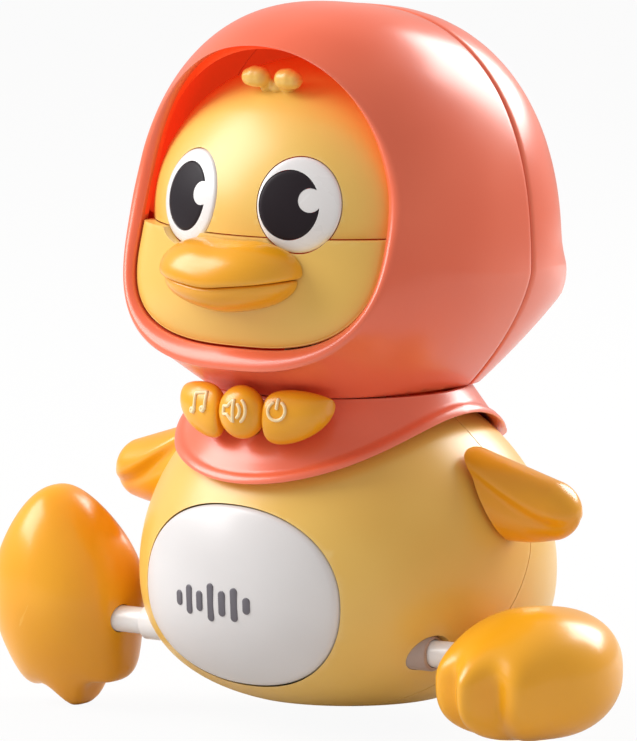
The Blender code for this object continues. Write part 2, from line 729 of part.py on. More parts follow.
def build_legs():
    turned("leg_axle", WHITE, (0, AXLE_Y, AXLE_Z), (1, 0, 0), [(-AXLE_HALF, AXLE_RADIUS), (AXLE_HALF, AXLE_RADIUS)], 20)
    for side, word in ((-1, "right"), (1, "left")):
        bm = foot_mesh(side)
        if side < 0:
            bmesh.ops.rotate(bm, verts=bm.verts, matrix=Matrix.Rotation(FAR_FOOT_TURN, 3, "X"))
        bmesh.ops.translate(bm, verts=bm.verts, vec=(side * FOOT_X, AXLE_Y, AXLE_Z))
        foot = make_object("foot_" + word, bm, ORANGE)
        cut(foot, cutter("axle socket " + word, turned_mesh((0, AXLE_Y, AXLE_Z), (side, 0, 0),
                                                            [(40, AXLE_RADIUS + GAP),
                                                             (AXLE_HALF + GAP, AXLE_RADIUS + GAP)], 20)))
        turned("axle_bush_" + word, WHITE, (0, AXLE_Y, AXLE_Z), (side, 0, 0),
               [(37.5, BUSH_RADIUS), (45.0, BUSH_RADIUS)], 20, AXLE_RADIUS + GAP)


def gear_mesh(middle, low, high, teeth, module, phase, bore):
    """Spur gear along X: straight-sided teeth, one of them centred on the phase angle."""
    pitch = module * teeth / 2.0
    outer = pitch + 0.85 * module
    root = pitch - 1.15 * module
    step = 2.0 * math.pi / teeth
    outline = []
    for i in range(teeth):
        angle = phase + i * step
        for r, offset in ((root, -0.30), (outer, -0.13), (outer, 0.13), (root, 0.30)):
            a = angle + offset * step
            outline.append((r * math.cos(a), r * math.sin(a)))
    inner = []
    for y, z in outline:
        size = bore / math.hypot(y, z)
        inner.append((y * size, z * size))
    sections = ((low, outline), (high, outline), (high, inner), (low, inner))
    return loft([[(x, middle[0] + y, middle[1] + z) for y, z in pairs] for x, pairs in sections], loop=True)


def place_from(start, distance, angle):
    return (start[0] + distance * math.cos(angle), start[1] + distance * math.sin(angle))


def build_gear_train():
    axle = (AXLE_Y, AXLE_Z)
    idler = place_from(axle, BIG_MODULE * (AXLE_TEETH + IDLER_PINION_TEETH) / 2 + BACKLASH, IDLER_DIRECTION)
    motor = place_from(idler, SMALL_MODULE * (IDLER_TEETH + MOTOR_TEETH) / 2 + BACKLASH, MOTOR_DIRECTION)
    make_object("axle_gear", gear_mesh(axle, -3, 3, AXLE_TEETH, BIG_MODULE, IDLER_DIRECTION,
                                       AXLE_RADIUS + GAP), NATURAL)
    pinion_phase = IDLER_DIRECTION + math.pi + math.pi / IDLER_PINION_TEETH
    wheel = make_object("idler_gear", gear_mesh(idler, 3.6, 6.2, IDLER_TEETH, SMALL_MODULE, MOTOR_DIRECTION, 1.5),
                        NATURAL)
    cut(wheel, cutter("idler pinion", gear_mesh(idler, -3.4, 4.0, IDLER_PINION_TEETH, BIG_MODULE,
                                                pinion_phase, 1.5)), "UNION")
    turned("idler_pin", STEEL, (0, *idler), (1, 0, 0), [(-9.0, 1.1), (9.0, 1.1)], 10)
    motor_phase = MOTOR_DIRECTION + math.pi + math.pi / MOTOR_TEETH
    pinion = make_object("motor_pinion", gear_mesh(motor, 3.4, 6.4, MOTOR_TEETH, SMALL_MODULE, motor_phase, 0.8),
                         BRASS)
    cut(pinion, cutter("motor shaft", turned_mesh((0, *motor), (1, 0, 0), [(2.9, 1.0), (14.0, 1.0)], 10)), "UNION")
    hull_plates(axle, idler, motor)
    motor_case(motor)


def hull_plates(axle, idler, motor):
    """Two flat plates that carry the shafts."""
    for side, word in ((-1, "right"), (1, "left")):
        bm = bmesh.new()
        for (y, z), radius in ((axle, 7.0), (idler, 6.0), (motor, 10.5)):
            for x in (side * 7.2, side * 9.2):
                for c, s in circle(14):
                    bm.verts.new((x, y + radius * c, z + radius * s))
        hull = bmesh.ops.convex_hull(bm, input=bm.verts)
        bmesh.ops.delete(bm, geom=hull["geom_interior"], context="VERTS")
        bmesh.ops.dissolve_limit(bm, angle_limit=math.radians(1), verts=bm.verts, edges=bm.edges)
        plate = make_object("gearbox_plate_" + word, bm, GREY)
        for (y, z), radius in ((axle, AXLE_RADIUS + GAP), (idler, 1.4), (motor, 1.5)):
            cut(plate, cutter("plate hole", turned_mesh((0, y, z), (side, 0, 0), [(5, radius), (12, radius)], 14)))


def motor_case(middle):
    """Small can motor with two flats; its shaft comes out towards the gears."""
    y, z = middle
    rings = []
    for x, scale in ((9.6, 0.62), (9.6, 1.0), (34.0, 1.0), (34.0, 0.5), (36.0, 0.5)):
        rings.append([(x, y + 10.0 * scale * c, z + max(min(10.0 * s, 7.6), -7.6) * scale)
                      for c, s in circle(24)])
    case = make_object("motor_case", loft(rings), STEEL)
    cut(case, cutter("shaft hole", turned_mesh((0, y, z), (1, 0, 0), [(8, 1.4), (14.5, 1.4)], 10)))


# ---------------------------------------------------------------- electrics

def build_electrics():
    rows = [CELL_FIRST_Y + CELL_PITCH * i for i in range(3)]
    low_y = rows[0] - CELL_RADIUS - 1.0
    high_y = rows[-1] + CELL_RADIUS + 1.0
    box = block("battery_box", GREY, (-25.0, low_y, 5.8), (25.0, high_y - 0.2, CELL_Z + CELL_RADIUS + 1.9), 1.0)
    cut(box, cutter("cell bay", prism([(-24.0, 2.0), (24.0, 2.0), (24.0, CELL_Z + CELL_RADIUS + 0.5),
                                       (-24.0, CELL_Z + CELL_RADIUS + 0.5)], low_y + 0.6, high_y - 0.8, "Y")))
    for i, y in enumerate(rows):
        flip = -1 if i % 2 else 1
        half = CELL_LENGTH / 2
        turned("battery_%d" % (i + 1), CELL, (0, y, CELL_Z), (flip, 0, 0),
               [(-half, CELL_RADIUS), (half - 1.0, CELL_RADIUS), (half - 1.0, 1.9), (half, 1.9)], 18)
    for side, word in ((-1, "right"), (1, "left")):
        inner = side * (CELL_LENGTH / 2 + GAP)
        outer = side * (CELL_LENGTH / 2 + 1.0)
        block("contact_" + word, BRASS, (min(inner, outer), low_y + 1.5, 7.0), (max(inner, outer), high_y - 1.5, 15.4))
    turned("speaker", GREY, (0, 0, 46.0), (0, 1, 0), [(35.5, 7.0), (40.5, 7.0), (40.5, 14.0), (44.5, 14.0)], 20)
    block("main_board", BOARD, (-25, 14.0, 40), (25, 15.2, 68))
    block("sound_chip", BLACK, (-5, 15.5, 50), (5, 17.2, 60), 0.4)
    block("lamp_board", BOARD, (-16, -45.2, 24), (16, -44.0, 38))
    for x, word in ((-11.0, "right"), (0.0, "middle"), (11.0, "left")):
        turned("lamp_" + word, WHITE, (x, -45.5, 31.0), (0, -1, 0), [(0, 2.4), (1.6, 2.4), (2.8, 1.5)], 12)


build_body()
build_bib()
build_head()
build_neck()
build_buttons()
build_wings()
build_legs()
build_gear_train()
build_electrics()
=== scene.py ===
import json
import math

import bpy
from mathutils import Matrix, Vector


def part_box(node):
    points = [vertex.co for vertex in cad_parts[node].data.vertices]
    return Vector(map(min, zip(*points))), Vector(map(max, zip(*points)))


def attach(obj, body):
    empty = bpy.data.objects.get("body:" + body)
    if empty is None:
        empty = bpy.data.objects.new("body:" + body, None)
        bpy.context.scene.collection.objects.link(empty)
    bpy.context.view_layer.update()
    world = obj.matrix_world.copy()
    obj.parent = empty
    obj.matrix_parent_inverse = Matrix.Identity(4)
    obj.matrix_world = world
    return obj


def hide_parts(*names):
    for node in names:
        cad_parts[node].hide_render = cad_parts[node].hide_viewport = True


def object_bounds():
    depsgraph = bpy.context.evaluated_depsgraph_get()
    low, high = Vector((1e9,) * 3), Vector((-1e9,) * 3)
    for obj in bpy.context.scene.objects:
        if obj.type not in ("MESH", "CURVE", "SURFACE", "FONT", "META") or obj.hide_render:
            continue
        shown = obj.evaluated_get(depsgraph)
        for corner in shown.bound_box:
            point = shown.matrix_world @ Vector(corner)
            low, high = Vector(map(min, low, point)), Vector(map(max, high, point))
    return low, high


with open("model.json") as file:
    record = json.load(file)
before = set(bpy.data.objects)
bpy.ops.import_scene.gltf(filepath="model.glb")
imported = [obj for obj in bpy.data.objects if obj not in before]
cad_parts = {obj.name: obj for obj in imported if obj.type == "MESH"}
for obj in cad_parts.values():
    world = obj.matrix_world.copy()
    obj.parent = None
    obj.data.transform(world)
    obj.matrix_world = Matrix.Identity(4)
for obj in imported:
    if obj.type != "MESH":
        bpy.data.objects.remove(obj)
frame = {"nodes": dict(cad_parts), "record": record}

lowCad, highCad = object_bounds()

# shapes below are in millimetres from the middle of the flat base
mm = 0.001
axleLow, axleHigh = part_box("leg_axle")
axle = {"y": -27.3, "z": 17.8, "radius": 3.6, "half": 68.0, "bush": 4.8, "gap": 0.12,
        "bushFrom": 37.5, "bushTo": 47.0, "chamfer": 0.6, "play": 0.3}
base = Vector((0.0, (axleLow.y + axleHigh.y) / 2 - axle["y"] * mm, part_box("body_rear")[0].z))


def place(x, y, z):
    return base + Vector((x, y, z)) * mm


# small modelling helpers

def deselect():
    bpy.ops.object.select_all(action="DESELECT")


def choose(obj):
    deselect()
    obj.select_set(True)
    bpy.context.view_layer.objects.active = obj


def settle(obj):
    # the place goes into the mesh, so the object stays at the origin
    choose(obj)
    bpy.ops.object.transform_apply(location=True, rotation=True, scale=True)


def shade(obj, angle=35):
    choose(obj)
    bpy.ops.object.shade_smooth_by_angle(angle=math.radians(angle))


def tidyNormals(obj):
    choose(obj)
    bpy.ops.object.mode_set(mode="EDIT")
    bpy.ops.mesh.select_all(action="SELECT")
    bpy.ops.mesh.remove_doubles(threshold=0.00001)
    bpy.ops.mesh.normals_make_consistent(inside=False)
    bpy.ops.object.mode_set(mode="OBJECT")


def skin(name, rings, loop=False):
    # a closed skin over rings of points, in millimetres
    count = len(rings[0])
    points = [place(*p) for ring in rings for p in ring]
    faces = []
    rows = len(rings)
    for r in range(rows if loop else rows - 1):
        s = (r + 1) % rows
        for i in range(count):
            j = (i + 1) % count
            faces.append((r * count + i, r * count + j, s * count + j, s * count + i))
    if not loop:
        faces.append(tuple(range(count))[::-1])
        faces.append(tuple((rows - 1) * count + i for i in range(count)))
    mesh = bpy.data.meshes.new(name)
    mesh.from_pydata(points, [], faces)
    obj = bpy.data.objects.new(name, mesh)
    bpy.context.collection.objects.link(obj)
    tidyNormals(obj)
    return obj


def carve(obj, tool, operation="DIFFERENCE", keep=False):
    choose(obj)
    mod = obj.modifiers.new("carve", "BOOLEAN")
    mod.operation = operation
    mod.object = tool
    mod.solver = "EXACT"
    bpy.ops.object.modifier_apply(modifier=mod.name)
    if not keep:
        bpy.data.objects.remove(tool)


def along(start, direction):
    lean = Vector((0, 0, 1)).rotation_difference(Vector(direction).normalized())
    return Matrix.Translation(Vector(start)) @ lean.to_matrix().to_4x4()


def rod(name, start, direction, profile, count=48, bore=0.0):
    # turned piece, its profile is (distance along, radius)
    where = along(start, direction)
    stations = list(profile)
    if bore:
        stations += [(profile[-1][0], bore), (profile[0][0], bore)]
    rings = []
    for d, r in stations:
        rings.append([tuple(where @ Vector((r * c, r * s, d))) for c, s in turn(count)])
    return skin(name, rings, loop=bool(bore))


def wall(name, outline, low, high, axis="Y"):
    # an outline of pairs pushed along X or Y
    if axis == "X":
        rings = [[(d, a, b) for a, b in outline] for d in (low, high)]
    else:
        rings = [[(a, d, b) for a, b in outline] for d in (low, high)]
    return skin(name, rings)


def tube(name, path, radius, sides=10):
    # a round bead along points, with round ends
    rings = []
    last = len(path) - 1
    for k, p in enumerate(path):
        way = (Vector(path[min(k + 1, last)]) - Vector(path[max(k - 1, 0)])).normalized()
        across = way.cross(Vector((0, 1, 0.01))).normalized()
        up = way.cross(across)
        spots = [(0.0, 1.0)]
        if k == 0:
            spots = [(-0.95, 0.25), (-0.75, 0.66), (-0.4, 0.92), (0.0, 1.0)]
        if k == last:
            spots = [(0.0, 1.0), (0.4, 0.92), (0.75, 0.66), (0.95, 0.25)]
        for shift, size in spots:
            middle = Vector(p) + way * shift * radius
            thick = radius * size
            rings.append([tuple(middle + across * thick * c + up * thick * s) for c, s in turn(sides)])
    return skin(name, rings)


def joined(name, parts):
    choose(parts[0])
    for part in parts[1:]:
        part.select_set(True)
    bpy.ops.object.join()
    parts[0].name = name
    return parts[0]


def power(value, exponent):
    return math.copysign(abs(value) ** exponent, value)


def ease(low, high, value):
    part = min(max((value - low) / (high - low), 0.0), 1.0)
    return part * part * (3 - 2 * part)


def turn(count, start=0.0):
    return [(math.cos(start + 2 * math.pi * i / count), math.sin(start + 2 * math.pi * i / count))
            for i in range(count)]


# materials

class Knob:
    # wraps one socket so that shader maths reads like maths
    def __init__(self, maker, socket):
        self.maker = maker
        self.socket = socket

    def maths(self, operation, first, second):
        return self.maker.add("ShaderNodeMath", {"operation": operation}, {0: first, 1: second})

    def __add__(self, other):
        return self.maths("ADD", self, other)

    def __radd__(self, other):
        return self.maths("ADD", other, self)

    def __sub__(self, other):
        return self.maths("SUBTRACT", self, other)

    def __rsub__(self, other):
        return self.maths("SUBTRACT", other, self)

    def __mul__(self, other):
        return self.maths("MULTIPLY", self, other)

    def __rmul__(self, other):
        return self.maths("MULTIPLY", other, self)


class Maker:
    # builds one material's nodes
    def __init__(self, name):
        self.material = bpy.data.materials.new(name)
        self.material.use_nodes = True
        self.tree = self.material.node_tree
        self.shader = self.tree.nodes["Principled BSDF"]

    def connect(self, target, value):
        if isinstance(value, Knob):
            self.tree.links.new(value.socket, target)
        elif isinstance(value, tuple) and len(value) == 3 and target.type == "RGBA":
            target.default_value = (*value, 1.0)
        else:
            target.default_value = value

    def add(self, kind, settings=None, inputs=None, output=0):
        node = self.tree.nodes.new(kind)
        for key, value in (settings or {}).items():
            setattr(node, key, value)
        for key, value in (inputs or {}).items():
            self.connect(node.inputs[key], value)
        return Knob(self, node.outputs[output])

    def mixed(self, factor, first, second):
        return self.add("ShaderNodeMix", {"data_type": "RGBA"}, {0: factor, 6: first, 7: second}, output=2)

    def surface(self, **sockets):
        for name, value in sockets.items():
            self.connect(self.shader.inputs[name.replace("_", " ")], value)


def plastic(name, look):
    # moulded plastic: slow colour drift, fine grain, a painted highlight that makes sharp edges paler and a
    # little rougher, uneven gloss
    make = Maker(name)
    spot = make.add("ShaderNodeTexCoord", output="Object")
    drift = make.add("ShaderNodeTexNoise", {}, {"Vector": spot, "Scale": 22.0, "Detail": 2.0})
    grain = make.add("ShaderNodeTexNoise", {}, {"Vector": spot, "Scale": 1500.0, "Detail": 3.0})
    smear = make.add("ShaderNodeTexNoise", {},
                     {"Vector": spot, "Scale": 90.0, "Detail": 4.0, "Distortion": 0.6})
    edge = make.add("ShaderNodeNewGeometry", output="Pointiness")
    # painted highlight: sharp convex edges are mixed toward the look's paler highlight tint
    sharpEdgeHighlight = make.add("ShaderNodeMapRange", {"clamp": True},
                    {"Value": edge, "From Min": 0.515, "From Max": 0.57, "To Min": 0.0, "To Max": 0.35})
    slow = make.add("ShaderNodeMapRange", {"clamp": True},
                    {"Value": drift, "From Min": 0.35, "From Max": 0.65})
    colour = make.mixed(slow, look["dark"], look["light"])
    colour = make.mixed(sharpEdgeHighlight, colour, look.get("highlightTint", look["light"]))
    rough = look["rough"] + (smear - 0.5) * look.get("uneven", 0.10) + sharpEdgeHighlight * 0.06
    bump = make.add("ShaderNodeBump", {},
                    {"Strength": look.get("bump", 0.05), "Distance": 0.0002, "Height": grain})
    make.surface(Base_Color=colour, Roughness=rough, Normal=bump)
    make.surface(Coat_Weight=look.get("coat", 0.0), Coat_Roughness=look.get("coatRough", 0.1))
    make.surface(Specular_IOR_Level=look.get("specular", 0.5))
    # painted glow where a look gives lit; only the hood's inside uses it
    make.surface(Emission_Color=look["light"], Emission_Strength=look.get("lit", 0.0))
    return make.material


def metal(name, look):
    # drawn or turned metal: streaks along the piece
    make = Maker(name)
    spot = make.add("ShaderNodeTexCoord", output="Object")
    placed = make.add("ShaderNodeMapping", {}, {"Vector": spot, "Scale": look["streak"]})
    streaks = make.add("ShaderNodeTexNoise", {}, {"Vector": placed, "Scale": 300.0, "Detail": 4.0})
    stain = make.add("ShaderNodeTexNoise", {}, {"Vector": spot, "Scale": 60.0, "Detail": 3.0})
    colour = make.mixed(stain, look["dark"], look["light"])
    rough = look["rough"] + (streaks - 0.5) * 0.25
    bump = make.add("ShaderNodeBump", {}, {"Strength": 0.08, "Distance": 0.0001, "Height": streaks})
    make.surface(Base_Color=colour, Roughness=rough, Normal=bump, Metallic=1.0)
    return make.material


def circuitBoard():
    # green circuit board: mask over copper tracks
    make = Maker("circuitBoard")
    spot = make.add("ShaderNodeTexCoord", output="Object")
    tracks = make.add("ShaderNodeTexBrick", {"offset": 0.5},
                      {"Vector": spot, "Scale": 320.0, "Mortar Size": 0.06, "Color1": (0.02, 0.17, 0.07),
                       "Color2": (0.02, 0.21, 0.09), "Mortar": (0.05, 0.30, 0.13)})
    fine = make.add("ShaderNodeTexNoise", {}, {"Vector": spot, "Scale": 900.0})
    bump = make.add("ShaderNodeBump", {}, {"Strength": 0.15, "Distance": 0.0001, "Height": fine})
    make.surface(Base_Color=tracks, Roughness=0.35 + fine * 0.15, Normal=bump)
    return make.material


print("making the finishes")
looks = {
    "coral": plastic("coralShell", {"dark": (0.86, 0.135, 0.058), "light": (0.93, 0.170, 0.078),
                                    "highlightTint": (0.95, 0.34, 0.22),
                                    "rough": 0.32, "coat": 0.45, "coatRough": 0.22}),
    "yellow": plastic("warmYellow", {"dark": (0.83, 0.485, 0.085), "light": (0.89, 0.560, 0.120),
                                     "highlightTint": (0.94, 0.70, 0.30),
                                     "rough": 0.36, "coat": 0.35, "coatRough": 0.32}),
    "orange": plastic("dipOrange", {"dark": (0.85, 0.355, 0.004), "light": (0.93, 0.420, 0.010),
                                    "highlightTint": (0.95, 0.56, 0.10),
                                    "rough": 0.30, "coat": 0.25, "coatRough": 0.18}),
    "white": plastic("milkWhite", {"dark": (0.78, 0.76, 0.76), "light": (0.84, 0.82, 0.82),
                                   "highlightTint": (0.9, 0.9, 0.9), "rough": 0.28, "coat": 0.3, "coatRough": 0.12}),
    "lamp_cover": plastic("lampCover", {"dark": (0.70, 0.68, 0.68), "light": (0.76, 0.74, 0.74),
                                        "highlightTint": (0.85, 0.84, 0.84), "rough": 0.34,
                                        "coat": 0.2, "coatRough": 0.2, "uneven": 0.06}),
    "gloss_black": plastic("inkBlack", {"dark": (0.012, 0.008, 0.012), "light": (0.02, 0.014, 0.018),
                                        "highlightTint": (0.06, 0.05, 0.06), "rough": 0.45, "specular": 0.15,
                                        "uneven": 0.04}),
    "nylon": plastic("naturalNylon", {"dark": (0.62, 0.60, 0.52), "light": (0.70, 0.68, 0.60),
                                      "rough": 0.5, "bump": 0.12}),
    "grey": plastic("frameGrey", {"dark": (0.11, 0.11, 0.12), "light": (0.15, 0.15, 0.16),
                                  "highlightTint": (0.30, 0.30, 0.31), "rough": 0.5, "bump": 0.15}),
    "steel": metal("turnedSteel", {"dark": (0.45, 0.45, 0.47), "light": (0.60, 0.60, 0.62),
                                   "rough": 0.32, "streak": (0.15, 1.0, 1.0)}),
    "brass": metal("stampedBrass", {"dark": (0.55, 0.36, 0.12), "light": (0.72, 0.50, 0.20),
                                    "rough": 0.30, "streak": (1.0, 0.2, 1.0)}),
    "board": circuitBoard(),
    "cell_sleeve": plastic("cellSleeve", {"dark": (0.03, 0.07, 0.24), "light": (0.05, 0.10, 0.30),
                                          "highlightTint": (0.4, 0.42, 0.5), "rough": 0.28, "coat": 0.5}),
}
markGrey = plastic("markGrey", {"dark": (0.10, 0.09, 0.11), "light": (0.13, 0.12, 0.14),
                                "highlightTint": (0.25, 0.24, 0.26), "rough": 0.4})
iconCream = plastic("iconCream", {"dark": (0.90, 0.66, 0.30), "light": (0.94, 0.72, 0.36),
                                  "highlightTint": (0.98, 0.85, 0.6), "rough": 0.35, "coat": 0.2})
# painted shade and red bounce for the hood's inside, deeper and redder than the coral, with a painted glow
# from its emission
insideShadeAndGlow = plastic("hoodInsideShadeAndGlow", {"dark": (0.80, 0.045, 0.008), "light": (0.86, 0.060, 0.012),
                                  "highlightTint": (0.95, 0.20, 0.10), "rough": 0.42, "lit": 0.42})
# painted shade: a brownish grey for the near bush, standing for its shadow and the orange reflected onto it
nearBushShade = plastic("bushPaintedShade", {"dark": (0.33, 0.235, 0.20), "light": (0.42, 0.31, 0.27),
                                "highlightTint": (0.55, 0.45, 0.40), "rough": 0.45})

for row in frame["record"]["subparts"]:
    node = frame["nodes"][row["node"]]
    node.data.materials.clear()
    node.data.materials.append(looks[row["material_slot"]])


def finish(obj, name, body, slotName, *nodes, angle=35, material=None):
    # last steps of every piece
    obj.name = name
    obj.data.name = name
    settle(obj)
    shade(obj, angle)
    if not obj.data.materials:
        obj.data.materials.append(material or looks[slotName])
    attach(obj, body)
    if nodes:
        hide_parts(*nodes)
    deselect()


# body shells, door and lamp cover

bodyShape = {"radius": 56.3, "middle": 34.0, "up": 54.8, "upPower": 1.93, "down": 37.0, "downPower": 2.4,
             "top": 80.0, "wall": 2.2, "lean": 3.0, "around": 160, "rowsBelow": 26, "rowsAbove": 34,
             "seamGap": 0.35,
             # side seam, pairs of Y and Z from the neck down
             "seam": [(0.0, 90.0), (1.0, 72.0), (5.0, 58.0), (8.5, 46.0), (0.5, 34.0), (-7.0, 25.0),
                      (-16.0, 12.0), (-22.0, -5.0)]}


def bodyRadius(z, grow=0.0):
    b = bodyShape
    radius = b["radius"] + grow
    if z > b["middle"]:
        p = b["upPower"]
        return radius * max(1 - ((z - b["middle"]) / (b["up"] + grow)) ** p, 0.0) ** (1 / p)
    p = b["downPower"]
    return radius * max(1 - ((b["middle"] - z) / (b["down"] + grow)) ** p, 0.0) ** (1 / p)


def bodyLean(z):
    return -bodyShape["lean"] * (max(z - bodyShape["middle"], 0.0) / 50) ** 2


def bodyFront(x, z, grow=0.0):
    # front surface of the belly over a point
    r = bodyRadius(z, grow)
    return -math.sqrt(max(r * r - x * x, 0.0)) + bodyLean(z)


def bodySolid(grow, around, below, above):
    b = bodyShape
    low, high = -grow, b["top"] + grow
    first = math.asin((b["middle"] - low) / (b["down"] + grow))
    last = math.asin((high - b["middle"]) / (b["up"] + grow))
    heights = [b["middle"] - (b["down"] + grow) * math.sin(first * (1 - i / below)) for i in range(below)]
    heights += [b["middle"] + (b["up"] + grow) * math.sin(last * i / above) for i in range(above + 1)]
    rings = []
    for z in heights:
        r = bodyRadius(z, grow)
        rings.append([(r * x, r * y + bodyLean(z), z) for x, y in turn(around)])
    return skin("body", rings)


def cornersCut(points):
    line = [points[0]]
    for (a, b), (c, d) in zip(points, points[1:]):
        line.append((0.75 * a + 0.25 * c, 0.75 * b + 0.25 * d))
        line.append((0.25 * a + 0.75 * c, 0.25 * b + 0.75 * d))
    line.append(points[-1])
    return line


def seamTool(shift):
    outline = [(y + shift, z) for y, z in cornersCut(cornersCut(bodyShape["seam"]))]
    outline += [(-80.0, -5.0), (-80.0, 90.0)]
    return wall("seam", outline, -80, 80, "X")


def oval(middle, half, count, grow=0.0, exponent=2.0):
    return [(middle[0] + (half[0] + grow) * power(c, 2 / exponent),
             middle[1] + (half[1] + grow) * power(s, 2 / exponent)) for c, s in turn(count)]


neck = {"y": -3.0, "hole": 12.3}
door = {"half": 24.2, "front": -8.2, "back": 24.7, "high": 2.0, "gap": 0.3,
        "screwY": 20.5, "screwRadius": 2.9}
sound = {"z": 46.0, "pitch": 5.0, "radius": 1.1}
stem = {"xs": (-12.5, 0.0, 12.5), "z": 76.6, "radius": 1.6, "hole": 2.2, "end": -32.5}
panel = {"middle": (-2.2, 31.6), "half": (32.2, 24.7), "power": 2.15, "gap": 0.45, "proud": 0.55,
         "count": 128}


def cutStemHoles(obj):
    for x in stem["xs"]:
        carve(obj, rod("stem hole", (x, -60, stem["z"]), (0, 1, 0),
                       [(0, stem["hole"]), (35, stem["hole"])], 20))


def cutNeckHole(obj):
    carve(obj, rod("neck hole", (0, neck["y"], 70), (0, 0, 1),
                   [(0, neck["hole"]), (20, neck["hole"])], 48))


def plate(name, half, low, high, front, back):
    # a slab reaching half to each side, from low to high
    return wall(name, [(-half, low), (half, low), (half, high), (-half, high)], front, back)


print("turning the body shells")
hollow = bodySolid(-bodyShape["wall"], 96, 14, 18)
bodyFrontShell = bodySolid(0.0, bodyShape["around"], bodyShape["rowsBelow"], bodyShape["rowsAbove"])
carve(bodyFrontShell, hollow, keep=True)
carve(bodyFrontShell, seamTool(0.0), "INTERSECT")
carve(bodyFrontShell, wall("panel hole", oval(panel["middle"], panel["half"], panel["count"], panel["gap"],
                                              panel["power"]), -80, -20))
carve(bodyFrontShell, rod("axle hole", (-60, axle["y"], axle["z"]), (1, 0, 0),
                          [(0, axle["bush"] + axle["gap"]), (120, axle["bush"] + axle["gap"])], 48))
cutNeckHole(bodyFrontShell)
cutStemHoles(bodyFrontShell)
finish(bodyFrontShell, "bellyShell", "body", "yellow", "body_front", angle=30)

bodyRearShell = bodySolid(0.0, bodyShape["around"], bodyShape["rowsBelow"], bodyShape["rowsAbove"])
carve(bodyRearShell, hollow)
carve(bodyRearShell, seamTool(bodyShape["seamGap"]))
cutNeckHole(bodyRearShell)
carve(bodyRearShell, plate("door hole", door["half"] + door["gap"], -3, 12,
                           door["front"] - door["gap"], door["back"] + door["gap"]))
# one sound hole, then rings of six and twelve
for ring, first, after, pitch in ((0, 0, 1, 0), (1, 1, 7, 60), (2, 7, 19, 30)):
    for i in range(first, after):
        angle, far = math.radians(pitch * i), sound["pitch"] * ring
        start = (far * math.cos(angle), 30, sound["z"] + far * math.sin(angle))
        carve(bodyRearShell, rod("sound hole", start, (0, 1, 0),
                                 [(0, sound["radius"]), (40, sound["radius"])], 16))
finish(bodyRearShell, "backShell", "body", "yellow", "body_rear", angle=30)

doorPiece = bodySolid(0.0, 48, 10, 4)
carve(doorPiece, plate("door edge", door["half"], -3, door["high"], door["front"], door["back"]), "INTERSECT")
carve(doorPiece, rod("screw well", (0, door["screwY"], -3), (0, 0, 1),
                     [(0, door["screwRadius"]), (4.2, door["screwRadius"])], 28))
finish(doorPiece, "batteryDoor", "body", "yellow", "battery_door", angle=30)


def coverRing(t, grow):
    ring = []
    for x, z in oval(panel["middle"], panel["half"], panel["count"], 0.0, panel["power"]):
        px = panel["middle"][0] + (x - panel["middle"][0]) * t
        pz = panel["middle"][1] + (z - panel["middle"][1]) * t
        ring.append((px, bodyFront(px, pz, grow), pz))
    return ring


steps = [(i / 16) ** 0.8 * 0.955 for i in range(1, 17)]
rings = [coverRing(0.004, panel["proud"])] + [coverRing(t, panel["proud"]) for t in steps]
rings += [coverRing(0.975, 0.45), coverRing(0.99, 0.2), coverRing(1.0, -0.3), coverRing(1.0, -1.6)]
rings += [coverRing(0.75, -1.6), coverRing(0.5, -1.6), coverRing(0.25, -1.6), coverRing(0.004, -1.6)]
finish(skin("cover", rings), "lampCover", "body", "lamp_cover", "belly_panel", angle=50)

# sound-level mark on the lamp cover
mark = {"x": -5.4, "z": 30.6, "pitch": 3.9, "width": 2.3, "stand": 0.28,
        "heights": [4.2, 8.0, 5.6, 10.4, 7.0, 9.2, 4.6]}
bars = []
for i, tall in enumerate(mark["heights"]):
    x = mark["x"] + (i - 3) * mark["pitch"]
    half = (tall - mark["width"]) / 2
    rings, outline = [], []
    for c, s in turn(24, math.pi / 24):
        outline.append((x + mark["width"] / 2 * c,
                        mark["z"] + mark["width"] / 2 * s + (half if s > 0 else -half)))
    for shrink, stand in ((0.0, -0.9), (0.0, 0.10), (0.08, 0.22), (0.25, mark["stand"])):
        squash = 1 - shrink * mark["width"] / tall
        rings.append([(x + (px - x) * (1 - shrink), bodyFront(px, pz, panel["proud"] + stand),
                       mark["z"] + (pz - mark["z"]) * squash) for px, pz in outline])
    bars.append(skin("bar", rings))
finish(joined("soundMark", bars), "soundMark", "body", "grey", angle=40, material=markGrey)

# bib

bib = {"front": 62.7, "shoulder": 79.0, "top": 84.5, "thick": 1.6, "rearIn": 3.0, "count": 192,
       # height and radius up the collar
       "radii": [(60.0, 51.4), (68.0, 47.2), (75.5, 41.8), (84.5, 36.2)]}


def bibRadius(angle, z):
    table = bib["radii"]
    for (z0, a0), (z1, a1) in zip(table, table[1:]):
        if z <= z1 or z1 == table[-1][0]:
            wide = a0 + (a1 - a0) * max(z - z0, 0.0) / (z1 - z0)
            break
    wide -= bib["rearIn"] * max(-math.cos(angle), 0.0)
    return max(wide, bodyRadius(min(z, 82.0)) + bib["thick"] + 0.5)


print("shaping the bib")
rings = []
